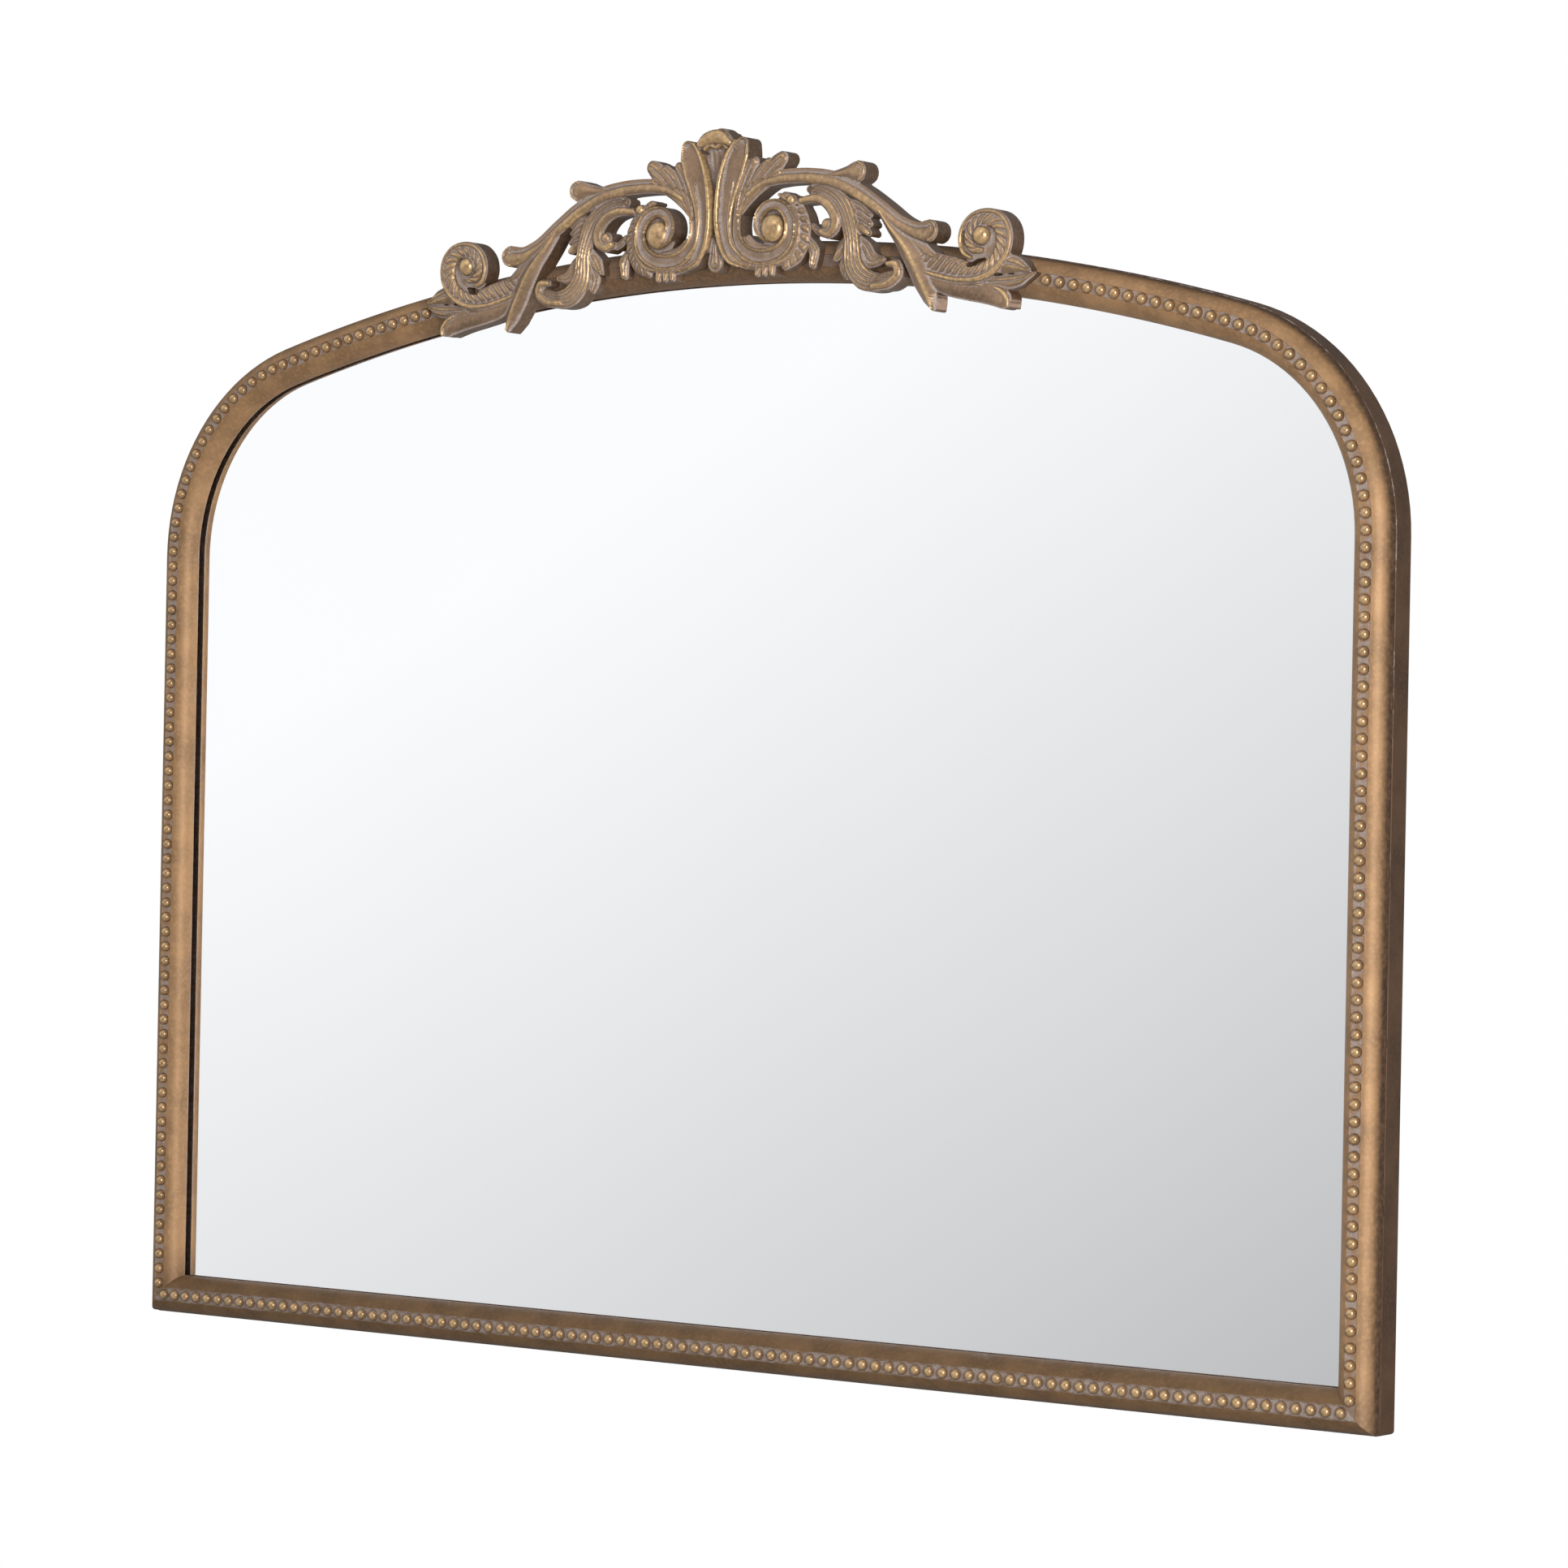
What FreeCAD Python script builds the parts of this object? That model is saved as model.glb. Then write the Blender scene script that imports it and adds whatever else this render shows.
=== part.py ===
import FreeCAD, Part
import math
import os

# Arched wall mirror with a beaded half-round frame and a cast scrollwork crest. Millimetres.
# X runs to the right, Y towards the wall and Z up. The origin is on the wall plane and the centre
# line, level with the springing line of the arch, where the two hanger eyes are.

# Outline of the frame
WIDTH = 914.0
LEG_HEIGHT = 489.0
CORNER_RADIUS = 125.0
CROWN_RISE = 169.0

# Half-round moulding and the flat bar rim behind it
MOULDING_RADIUS = 12.0
SEAM_STEP = 0.5
RIM_THICKNESS = 3.0
RIM_DEPTH = 16.0
GROOVE_WIDTH = 7.2
GROOVE_DEPTH = 1.0

# Pearl beading
BEAD_DIAMETER = 6.2
BEAD_HEIGHT = 3.0
BEAD_CROWN_DIAMETER = 3.8
BEAD_PITCH = 9.45
BEAD_LEAD = 0.75

# Glass, its pads and blocks, and the backing board
PAD_THICKNESS = 2.5
PAD_LENGTH = 26.0
PAD_WIDTH = 8.0
PAD_LEG_SHARES = (0.2, 0.5, 0.8)
PAD_CROSS_SHARES = (-0.6, 0.0, 0.6)
GLASS_THICKNESS = 4.0
BOARD_THICKNESS = 5.0
GLASS_CLEARANCE = 2.0
BLOCK_LENGTH = 50.0
BLOCK_POSITION = 228.0

# Tabs on the rim, bent over the board to hold it
TAB_WIDTH = 14.0
TAB_FOOT = 16.0
TAB_LEG = 4.0
TAB_THICKNESS = 1.2
JAMB_TAB_HEIGHTS = (-370.0, -70.0)
RAIL_TAB_POSITIONS = (-250.0, 250.0)
CROWN_TAB_POSITIONS = (-190.0, 190.0)

# Strap hangers with swinging D-rings
HANGER_SPACING = 560.0
HANGER_WIDTH = 15.0
HANGER_LENGTH = 42.0
HANGER_THICKNESS = 1.0
EYE_WIDTH = 11.0
RING_WIRE = 2.4
RING_REST_GAP = 0.4
RING_WIDTH = 19.0
RING_DROP = 20.0
RING_CORNER = 3.0
RING_SIDE_GAP = 0.5
HANGER_SCREW_DROP = 32.0
HANGER_SCREW_SHANK = 3.5
HANGER_SCREW_HEAD = 7.0
HANGER_SCREW_HEAD_HEIGHT = 2.0
HANGER_SCREW_LENGTH = 4.5

# Wall bumpers
BUMPER_SIZE = 14.0
BUMPER_PROUD = 1.0
BUMPER_INSET = 40.0

# Cast crest: depths are measured from the wall plane, heights from the bead line at the crown
CREST_BACK = 25.0
CREST_EDGE = 36.5
CREST_CROWN = 39.5
CREST_HOLLOW = 34.0
CREST_BOSS = 43.0
RELIEF_STEP = 1.0
CREST_SWELL_SHARE = 0.3
CREST_FLAT_SHARE = 0.45
CREST_STEP = 11.0
ROSETTE_SIDES = 12
GROOVE_SHARE = 1.15
GROOVE_SINK = 1.0
CREST_REACH = 229.0

# The crest's lines are drawn on a grid that counts 229 units from its middle to its end
CREST_UNIT = CREST_REACH / 229
VOLUTE_CENTRE = (192.5, 6)
VOLUTE_RADIUS = 17.5 * CREST_UNIT
VOLUTE_EYE_RADIUS = 6 * CREST_UNIT
SCROLL_CENTRE = (42.5, 18.5)
SCROLL_RADIUS = 15.5 * CREST_UNIT
SCROLL_BOSS_RADIUS = 8.5 * CREST_UNIT
HOOK_CENTRE = (81, 19)
HOOK_RADIUS = 6.5 * CREST_UNIT
HOOK_BALL_RADIUS = 4 * CREST_UNIT

# Dowel pins between the moulding and the crest
PIN_POSITIONS = (-178 * CREST_UNIT, 178 * CREST_UNIT)
PIN_DIAMETER = 4.0
PIN_BITE = 6.0

# Fits
SEAT_CLEARANCE = 0.2
SCREW_CLEARANCE = 0.05
PIN_CLEARANCE = 0.05
PIVOT_CLEARANCE = 0.06
TAB_CLEARANCE = 0.05
OVERRUN = 5.0

# Depths of the faces, behind each other
RIM_REAR = -BUMPER_PROUD
SEAM = RIM_REAR - RIM_DEPTH
MOULDING_FRONT = SEAM - MOULDING_RADIUS
GROOVE_FLOOR = MOULDING_FRONT + GROOVE_DEPTH
GLASS_FRONT = SEAM + PAD_THICKNESS
GLASS_REAR = GLASS_FRONT + GLASS_THICKNESS
BOARD_REAR = GLASS_REAR + BOARD_THICKNESS

# The bead line runs along the middle of the moulding, and every outline is an offset of it
OUTER_OFFSET = MOULDING_RADIUS + SEAM_STEP
RIM_INNER_OFFSET = OUTER_OFFSET - RIM_THICKNESS
GLASS_OFFSET = RIM_INNER_OFFSET - GLASS_CLEARANCE
BEAD_HALF = WIDTH / 2 - OUTER_OFFSET
BEAD_BOTTOM = OUTER_OFFSET - LEG_HEIGHT
CORNER_CENTRE = BEAD_HALF - CORNER_RADIUS
CROWN_RADIUS = (CORNER_CENTRE**2 + CROWN_RISE**2 - CORNER_RADIUS**2) / (2 * (CROWN_RISE - CORNER_RADIUS))
CROWN_CENTRE = CROWN_RISE - CROWN_RADIUS
CORNER_ANGLE = math.atan2(-CROWN_CENTRE, CORNER_CENTRE)

# Hanger eye: the ring's straight leg turns in it
EYE_BORE_RADIUS = RING_WIRE / 2 + PIVOT_CLEARANCE
EYE_RADIUS = EYE_BORE_RADIUS + HANGER_THICKNESS
EYE_DEPTH = BOARD_REAR + HANGER_THICKNESS + RING_REST_GAP + RING_WIRE / 2


def vector(x, y, z):
    return FreeCAD.Vector(x, y, z)


def on_corner(angle, offset, depth):
    reach = CORNER_RADIUS + offset
    return vector(CORNER_CENTRE + reach * math.cos(angle), depth, reach * math.sin(angle))


def on_crown(angle, offset, depth):
    reach = CROWN_RADIUS + offset
    return vector(reach * math.cos(angle), depth, CROWN_CENTRE + reach * math.sin(angle))


def mirrored(shape):
    return shape.mirror(vector(0, 0, 0), vector(1, 0, 0))


def half_bow(offset, foot, depth):
    """Edges of the right half of the bow: leg, corner arc and half of the crown arc."""
    springing = on_corner(0, offset, depth)
    haunch = on_corner(CORNER_ANGLE, offset, depth)
    crown = on_crown(math.pi / 2, offset, depth)
    corner_middle = on_corner(CORNER_ANGLE / 2, offset, depth)
    crown_middle = on_crown((CORNER_ANGLE + math.pi / 2) / 2, offset, depth)
    leg = Part.LineSegment(vector(BEAD_HALF + offset, depth, foot), springing)
    corner = Part.Arc(springing, corner_middle, haunch)
    top = Part.Arc(haunch, crown_middle, crown)
    return [leg.toShape(), corner.toShape(), top.toShape()]


def bow_wire(offset, foot, depth):
    right = half_bow(offset, foot, depth)
    left = [mirrored(edge) for edge in right]
    return Part.Wire(Part.__sortEdges__(right + left))


def arch_panel(offset, foot, front, thickness):
    """Flat panel with the arch's outline, standing on a straight foot."""
    half = BEAD_HALF + offset
    sill = Part.LineSegment(vector(-half, front, foot), vector(half, front, foot)).toShape()
    outline = Part.Wire(Part.__sortEdges__(bow_wire(offset, foot, front).Edges + [sill]))
    return Part.Face(outline).extrude(vector(0, thickness, 0))


def polygon_prism(points, front, thickness):
    corners = [vector(x, front, z) for x, z in points]
    face = Part.Face(Part.makePolygon(corners + corners[:1]))
    return face.extrude(vector(0, thickness, 0))


def block(x, y, z, low_x, low_y, low_z):
    return Part.makeBox(x, y, z, vector(low_x, low_y, low_z))


def rod(radius, length, x, y, z):
    """Round rod along Y from the given middle of its front end."""
    return Part.makeCylinder(radius, length, vector(x, y, z), vector(0, 1, 0))


def mitre_region():
    """The part of the corner blocks that belongs to the bottom rail, below both mitre lines."""
    reach = 2 * MOULDING_RADIUS
    low = BEAD_BOTTOM - reach
    high = BEAD_BOTTOM + reach
    wide = BEAD_HALF + reach
    narrow = BEAD_HALF - reach
    return polygon_prism([(-wide, low), (-narrow, high), (narrow, high), (wide, low)],
                         MOULDING_FRONT - OVERRUN, MOULDING_RADIUS + 2 * OVERRUN)


def half_round_face(place):
    """Grooved half-round section with its flat back on the seam; place puts (across, depth) in space."""
    radius = MOULDING_RADIUS
    half_groove = GROOVE_WIDTH / 2
    back = [place(-radius, SEAM), place(radius, SEAM)]
    shoulder = SEAM - math.sqrt(radius**2 - half_groove**2)
    diagonal = radius * math.sqrt(0.5)
    lips = [place(side * half_groove, shoulder) for side in (-1, 1)]
    floor = [place(side * half_groove, GROOVE_FLOOR) for side in (-1, 1)]
    right = Part.Arc(back[1], place(diagonal, SEAM - diagonal), lips[1]).toShape()
    left = Part.Arc(lips[0], place(-diagonal, SEAM - diagonal), back[0]).toShape()
    channel = Part.makePolygon([lips[1], floor[1], floor[0], lips[0]])
    edges = [Part.makeLine(*back), right] + channel.Edges + [left]
    return Part.Face(Part.Wire(Part.__sortEdges__(edges)))


def turned(shape, x, z, angle):
    """Copy turned about a Y axis at (x, z), from +X towards +Z."""
    copy = shape.copy()
    copy.rotate(vector(x, 0, z), vector(0, -1, 0), math.degrees(angle))
    return copy


def half_round_bow():
    """Two straight legs, two corner arcs and the crown arc, tangent to each other."""
    section = half_round_face(lambda across, depth: vector(BEAD_HALF + across, depth, 0))
    haunch = turned(section, CORNER_CENTRE, 0, CORNER_ANGLE)
    leg = section.extrude(vector(0, 0, BEAD_BOTTOM - 2 * MOULDING_RADIUS))
    corner = section.revolve(vector(CORNER_CENTRE, 0, 0), vector(0, -1, 0), math.degrees(CORNER_ANGLE))
    crown_turn = math.degrees(math.pi - 2 * CORNER_ANGLE)
    crown = haunch.revolve(vector(0, 0, CROWN_CENTRE), vector(0, -1, 0), crown_turn)
    return crown.multiFuse([leg, corner, mirrored(leg), mirrored(corner)]).removeSplitter()


def crest_pin(x, clearance):
    """Pin across the moulding on the bead line, from its flat back into the crest."""
    front = -CREST_BACK - PIN_BITE - clearance
    z = CROWN_CENTRE + math.sqrt(CROWN_RADIUS**2 - x**2)
    return rod(PIN_DIAMETER / 2 + clearance, SEAM - front, x, front, z)


def crest_pins():
    return Part.makeCompound([crest_pin(x, 0) for x in PIN_POSITIONS])


def moulding_bow():
    bow = half_round_bow().cut(mitre_region())
    for x in PIN_POSITIONS:
        bow = bow.cut(crest_pin(x, PIN_CLEARANCE))
    return bow


def moulding_rail():
    reach = BEAD_HALF + 2 * MOULDING_RADIUS
    section = half_round_face(lambda across, depth: vector(-reach, depth, BEAD_BOTTOM + across))
    return section.extrude(vector(2 * reach, 0, 0)).common(mitre_region())


def rim_bow():
    outer = arch_panel(OUTER_OFFSET, -LEG_HEIGHT, SEAM, RIM_DEPTH)
    inner = arch_panel(RIM_INNER_OFFSET, -LEG_HEIGHT - OVERRUN, SEAM - OVERRUN, RIM_DEPTH + 2 * OVERRUN)
    return outer.cut(inner)


def rim_rail():
    half = BEAD_HALF + RIM_INNER_OFFSET
    return block(2 * half, RIM_DEPTH, RIM_THICKNESS, -half, SEAM, -LEG_HEIGHT)


def polygon_ring(sides, radius, depth, start=0.0):
    """Corners of an even polygon in a plane across Y, the first one turned from +X by the start angle."""
    ring = []
    for side in range(sides):
        turn = start + 2 * math.pi * side / sides
        ring.append(vector(radius * math.cos(turn), depth, radius * math.sin(turn)))
    return ring


def flat_face(corners):
    return Part.Face(Part.makePolygon(corners + corners[:1]))


def bead():
    """Faceted pearl on the groove floor at the origin: a six-sided foot drawn in to a three-sided top."""
    foot = polygon_ring(6, BEAD_DIAMETER / 2, 0)
    top = polygon_ring(3, BEAD_CROWN_DIAMETER / 2, -BEAD_HEIGHT, math.pi / 6)
    faces = [flat_face(foot), flat_face(top)]
    for side in range(3):
        near = top[side]
        far = top[(side + 1) % 3]
        left, middle, right = (foot[(2 * side + step) % 6] for step in range(3))
        faces.append(flat_face([left, middle, near]))
        faces.append(flat_face([middle, right, far, near]))
    return Part.makeSolid(Part.makeShell(faces))


def beads_at(spots):
    pearl = bead()
    pearls = []
    for spot in spots:
        copy = pearl.copy()
        copy.translate(spot)
        pearls.append(copy)
    return pearls


def bow_beading():
    """Beads up each leg and round to the ends of the crest."""
    edges = half_bow(0, BEAD_BOTTOM, GROOVE_FLOOR)
    end_angle = math.acos(CREST_REACH / CROWN_RADIUS)
    lengths = [edges[0].Length, edges[1].Length, CROWN_RADIUS * (end_angle - CORNER_ANGLE)]
    count = int(sum(lengths) / BEAD_PITCH)
    spots = []
    for index in range(count):
        run = (index + BEAD_LEAD) * BEAD_PITCH
        if run < lengths[0]:
            spots.append(vector(BEAD_HALF, GROOVE_FLOOR, BEAD_BOTTOM + run))
        elif run < lengths[0] + lengths[1]:
            spots.append(on_corner((run - lengths[0]) / CORNER_RADIUS, 0, GROOVE_FLOOR))
        else:
            turn = (run - lengths[0] - lengths[1]) / CROWN_RADIUS
            spots.append(on_crown(CORNER_ANGLE + turn, 0, GROOVE_FLOOR))
    right = beads_at(spots)
    return Part.makeCompound(right + [mirrored(pearl) for pearl in right])


def rail_beading():
    count = int(2 * BEAD_HALF / BEAD_PITCH)
    start = -BEAD_PITCH * (count - 1) / 2
    spots = [vector(start + BEAD_PITCH * index, GROOVE_FLOOR, BEAD_BOTTOM) for index in range(count)]
    return Part.makeCompound(beads_at(spots))


def mirror_glass():
    foot = RIM_THICKNESS + GLASS_CLEARANCE - LEG_HEIGHT
    return arch_panel(GLASS_OFFSET, foot, GLASS_FRONT, GLASS_THICKNESS)


def backing_board():
    foot = RIM_THICKNESS + GLASS_CLEARANCE - LEG_HEIGHT
    board = arch_panel(GLASS_OFFSET, foot, GLASS_REAR, BOARD_THICKNESS)
    for x, z in hanger_screw_spots():
        board = board.cut(screw_shaft(HANGER_SCREW_SHANK, HANGER_SCREW_LENGTH - HANGER_THICKNESS, x, z))
    return board


def screw_shaft(diameter, depth, x, z):
    """Hole in the board for a screw, open at the board's rear face."""
    return rod(diameter / 2 + SCREW_CLEARANCE, depth + OVERRUN + SCREW_CLEARANCE,
               x, BOARD_REAR - depth - SCREW_CLEARANCE, z)


def pan_screw(shank, length, head, head_height, seat, x, z):
    """Pan-head screw driven forward, its head resting on the seat plane."""
    body = rod(shank / 2, length, x, seat - length, z)
    return body.fuse(rod(head / 2, head_height, x, seat, z))


def placed(shape, place):
    copy = shape.copy()
    copy.Placement = place.multiply(copy.Placement)
    return copy


def glass_pads():
    """Soft pads on the moulding's flat back that the glass is pressed against."""
    pads = []
    leg_length = LEG_HEIGHT - OUTER_OFFSET
    for side in (-1, 1):
        for share in PAD_LEG_SHARES:
            x = side * BEAD_HALF - PAD_WIDTH / 2
            z = BEAD_BOTTOM + share * leg_length - PAD_LENGTH / 2
            pads.append(block(PAD_WIDTH, PAD_THICKNESS, PAD_LENGTH, x, SEAM, z))
    for share in PAD_CROSS_SHARES:
        x = share * BEAD_HALF - PAD_LENGTH / 2
        pads.append(block(PAD_LENGTH, PAD_THICKNESS, PAD_WIDTH, x, SEAM, BEAD_BOTTOM - PAD_WIDTH / 2))
        crown = on_crown(math.acos(share * BEAD_HALF / CROWN_RADIUS), 0, SEAM)
        pads.append(block(PAD_LENGTH, PAD_THICKNESS, PAD_WIDTH, x, SEAM, crown.z - PAD_WIDTH / 2))
    return Part.makeCompound(pads)


def setting_blocks():
    """Rubber blocks on the bottom bar that carry the edge of the glass and the board."""
    depth = GLASS_THICKNESS + BOARD_THICKNESS
    low = RIM_THICKNESS - LEG_HEIGHT
    blocks = []
    for side in (-1, 1):
        x = side * BLOCK_POSITION - BLOCK_LENGTH / 2
        blocks.append(block(BLOCK_LENGTH, depth, GLASS_CLEARANCE, x, GLASS_FRONT, low))
    return Part.makeCompound(blocks)


def tab_spots():
    """Places on the rim's inner face: x, z and the turn about Y that points the tab's leg outwards."""
    half = BEAD_HALF + RIM_INNER_OFFSET
    spots = [(half, z, 0.0) for z in JAMB_TAB_HEIGHTS]
    spots += [(-half, z, math.pi) for z in JAMB_TAB_HEIGHTS]
    spots += [(x, RIM_THICKNESS - LEG_HEIGHT, math.pi / 2) for x in RAIL_TAB_POSITIONS]
    for x in CROWN_TAB_POSITIONS:
        angle = math.acos(x / CROWN_RADIUS)
        touch = on_crown(angle, RIM_INNER_OFFSET - TAB_CLEARANCE, 0)
        spots.append((touch.x, touch.z, -angle))
    return spots


def tab_place(x, z, turn):
    return FreeCAD.Placement(vector(x, 0, z), FreeCAD.Rotation(vector(0, 1, 0), math.degrees(turn)))


def board_tab():
    """Bent tab: a leg on the rim's inner face at X = 0 and a foot over the board."""
    leg = block(TAB_THICKNESS, TAB_LEG, TAB_WIDTH, -TAB_THICKNESS, BOARD_REAR, -TAB_WIDTH / 2)
    foot = block(TAB_FOOT, TAB_THICKNESS, TAB_WIDTH, -TAB_FOOT, BOARD_REAR, -TAB_WIDTH / 2)
    return leg.fuse(foot).removeSplitter()


def board_tabs():
    return Part.makeCompound([placed(board_tab(), tab_place(*spot)) for spot in tab_spots()])


def hanger_screw_spots():
    return [(side * HANGER_SPACING / 2, -HANGER_SCREW_DROP) for side in (-1, 1)]


def hanger_plate(side):
    """Strap on the board with a rolled eye at its top for the ring."""
    x = side * HANGER_SPACING / 2
    radius = HANGER_WIDTH / 2
    straight = HANGER_LENGTH - radius
    strap = block(HANGER_WIDTH, HANGER_THICKNESS, straight, x - radius, BOARD_REAR, -straight)
    toe = rod(radius, HANGER_THICKNESS, x, BOARD_REAR, -straight)
    neck = block(HANGER_WIDTH - EYE_WIDTH, HANGER_THICKNESS + EYE_RADIUS, EYE_RADIUS + RING_WIRE,
                 0, BOARD_REAR, -EYE_RADIUS - RING_WIRE)
    strap = strap.fuse(toe)
    for edge in (x - radius, x + radius):
        notch = neck.copy()
        notch.translate(vector(edge - (HANGER_WIDTH - EYE_WIDTH) / 2, 0, 0))
        strap = strap.cut(notch)
    start = vector(x - EYE_WIDTH / 2, EYE_DEPTH, 0)
    eye = Part.makeCylinder(EYE_RADIUS, EYE_WIDTH, start, vector(1, 0, 0))
    bore = Part.makeCylinder(EYE_BORE_RADIUS, EYE_WIDTH, start, vector(1, 0, 0))
    plate = strap.fuse(eye).removeSplitter().cut(bore)
    for screw_x, screw_z in hanger_screw_spots():
        plate = plate.cut(rod(HANGER_SCREW_SHANK / 2 + SCREW_CLEARANCE, HANGER_THICKNESS,
                              screw_x, BOARD_REAR, screw_z))
    return plate


def hanger_screws():
    seat = BOARD_REAR + HANGER_THICKNESS
    screws = []
    for x, z in hanger_screw_spots():
        screws.append(pan_screw(HANGER_SCREW_SHANK, HANGER_SCREW_LENGTH, HANGER_SCREW_HEAD,
                                HANGER_SCREW_HEAD_HEIGHT, seat, x, z))
    return Part.makeCompound(screws)


def d_outline(x, half, drop, corner, rise):
    """D-shaped face in the plane of the ring: square shoulders at the top, half round below."""
    bend = corner * (1 - math.sqrt(0.5))
    front = EYE_DEPTH - RING_WIRE / 2

    def at(across, z):
        return vector(x + across, front, z)

    edges = [
        Part.makeLine(at(corner - half, rise), at(half - corner, rise)),
        Part.Arc(at(half - corner, rise), at(half - bend, rise - bend), at(half, rise - corner)).toShape(),
        Part.makeLine(at(half, rise - corner), at(half, half - drop)),
        Part.Arc(at(half, half - drop), at(0, -drop), at(-half, half - drop)).toShape(),
        Part.makeLine(at(-half, half - drop), at(-half, rise - corner)),
        Part.Arc(at(-half, rise - corner), at(bend - half, rise - bend), at(corner - half, rise)).toShape(),
    ]
    return Part.Face(Part.Wire(edges))


def hanger_ring(side):
    """D-ring: a round leg that turns in the eye and a flat-sided bow that hangs below it."""
    x = side * HANGER_SPACING / 2
    wire = RING_WIRE / 2
    half = RING_WIDTH / 2
    outer = d_outline(x, half + wire, RING_DROP + wire, RING_CORNER + wire, wire)
    inner = d_outline(x, half - wire, RING_DROP - wire, RING_CORNER - wire, -wire)
    bow = outer.cut(inner).extrude(vector(0, RING_WIRE, 0))
    gap_half = EYE_WIDTH / 2 + RING_SIDE_GAP
    gap = block(2 * gap_half, 2 * RING_WIRE, 2 * RING_WIRE, x - gap_half, EYE_DEPTH - RING_WIRE, -RING_WIRE)
    leg = Part.makeCylinder(wire, 2 * gap_half, vector(x - gap_half, EYE_DEPTH, 0), vector(1, 0, 0))
    return bow.cut(gap).fuse(leg)


def wall_bumpers():
    """Square felt bumpers near the board's corners, standing just behind the rim."""
    side_reach = BEAD_HALF + GLASS_OFFSET - BUMPER_INSET
    low = RIM_THICKNESS + GLASS_CLEARANCE + BUMPER_INSET - LEG_HEIGHT
    half = BUMPER_SIZE / 2
    bumpers = []
    for x in (-side_reach, side_reach):
        for z in (low, -BUMPER_INSET):
            bumpers.append(block(BUMPER_SIZE, -BOARD_REAR, BUMPER_SIZE, x - half, BOARD_REAR, z - half))
    return Part.makeCompound(bumpers)


def crest_point(x, height):
    """Point of the crest's grid, on the wall plane."""
    return vector(x * CREST_UNIT, 0, CROWN_RISE + height * CREST_UNIT)


def between(stations, values, station):
    """Value at a station, on straight lines between the given ones."""
    for low, high, before, after in zip(stations, stations[1:], values, values[1:]):
        if station <= high:
            return before + (after - before) * (station - low) / (high - low)
    return values[-1]


def ribbon_section(middle, tangent, half, edge, top):
    """Corners of one cross-section, from the left of the back round to the left of the front."""
    corners = []
    for across, depth in ((-1, CREST_BACK), (1, CREST_BACK), (1, edge), (CREST_FLAT_SHARE, top),
                          (-CREST_FLAT_SHARE, top), (-1, edge)):
        reach = half * across
        corners.append(vector(middle.x + tangent.z * reach, -depth, middle.z - tangent.x * reach))
    return corners


def skin(rings, flat_sides):
    """Closed solid over rings of corners. The listed sides are flat; the others are split in two."""
    faces = [flat_face(rings[0]), flat_face(rings[-1])]
    count = len(rings[0])
    for near, far in zip(rings, rings[1:]):
        for side in range(count):
            after = (side + 1) % count
            if side in flat_sides:
                faces.append(flat_face([near[side], near[after], far[after], far[side]]))
            else:
                faces.append(flat_face([near[side], near[after], far[after]]))
                faces.append(flat_face([near[side], far[after], far[side]]))
    solid = Part.makeSolid(Part.makeShell(faces))
    solid.fix(0, 0, 0)
    return solid


def ribbon(path, widths, crown, edge):
    """Relief band along a smooth line of the grid: flat back, side walls and a raised or hollow front."""
    line = Part.BSplineCurve()
    line.interpolate([crest_point(x, height) for x, height in path])
    stations = [line.parameter(crest_point(x, height)) for x, height in path]
    steps = max(2, round(line.length() / CREST_STEP))
    rings = []
    for step in range(steps + 1):
        station = stations[0] + (stations[-1] - stations[0]) * step / steps
        half = between(stations, widths, station) * CREST_UNIT / 2
        swell = min(abs(crown - edge), 2 * half * CREST_SWELL_SHARE)
        top = edge + math.copysign(swell, crown - edge)
        rings.append(ribbon_section(line.value(station), line.tangent(station)[0], half, edge, top))
    back, right_wall, left_wall = 0, 1, 5
    return skin(rings, (back, right_wall, left_wall))


def rosette(centre, radius, boss_radius, boss_depth):
    """Round scroll end: a rolled rim, a groove and a ball in the middle."""
    groove = boss_radius * GROOVE_SHARE
    swell = boss_depth - CREST_EDGE
    levels = [(radius, CREST_BACK), (radius, CREST_EDGE), ((radius + groove) / 2, CREST_CROWN),
              (groove, CREST_EDGE - GROOVE_SINK), (boss_radius, CREST_EDGE)]
    for turn in (math.pi / 5, math.pi / 2.5):
        levels.append((boss_radius * math.cos(turn), CREST_EDGE + swell * math.sin(turn)))
    rings = [polygon_ring(ROSETTE_SIDES, reach, -depth) for reach, depth in levels]
    wheel = skin(rings, range(ROSETTE_SIDES))
    wheel.translate(crest_point(*centre))
    return wheel


def rail_forms():
    """The long rail, its two upturned stubs and the keeled blade that crosses it."""
    rail = ribbon([(30, 44), (46, 48), (66, 49), (86, 45.5), (104, 37), (120, 26.5), (134, 16),
                   (147, 11), (162, 12)],
                  [6, 8, 8.5, 9, 9, 9, 9, 9.5, 11], CREST_CROWN, CREST_EDGE)
    stub = ribbon([(84, 44), (96, 47), (109, 49)], [5, 7, 11], CREST_CROWN, CREST_EDGE)
    blade = ribbon([(119, 23), (132, 7), (143, -8), (152, -22), (160, -35)],
                   [6, 9, 12.5, 12, 8], CREST_CROWN + RELIEF_STEP, CREST_EDGE)
    return [rail, stub, blade]


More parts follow.
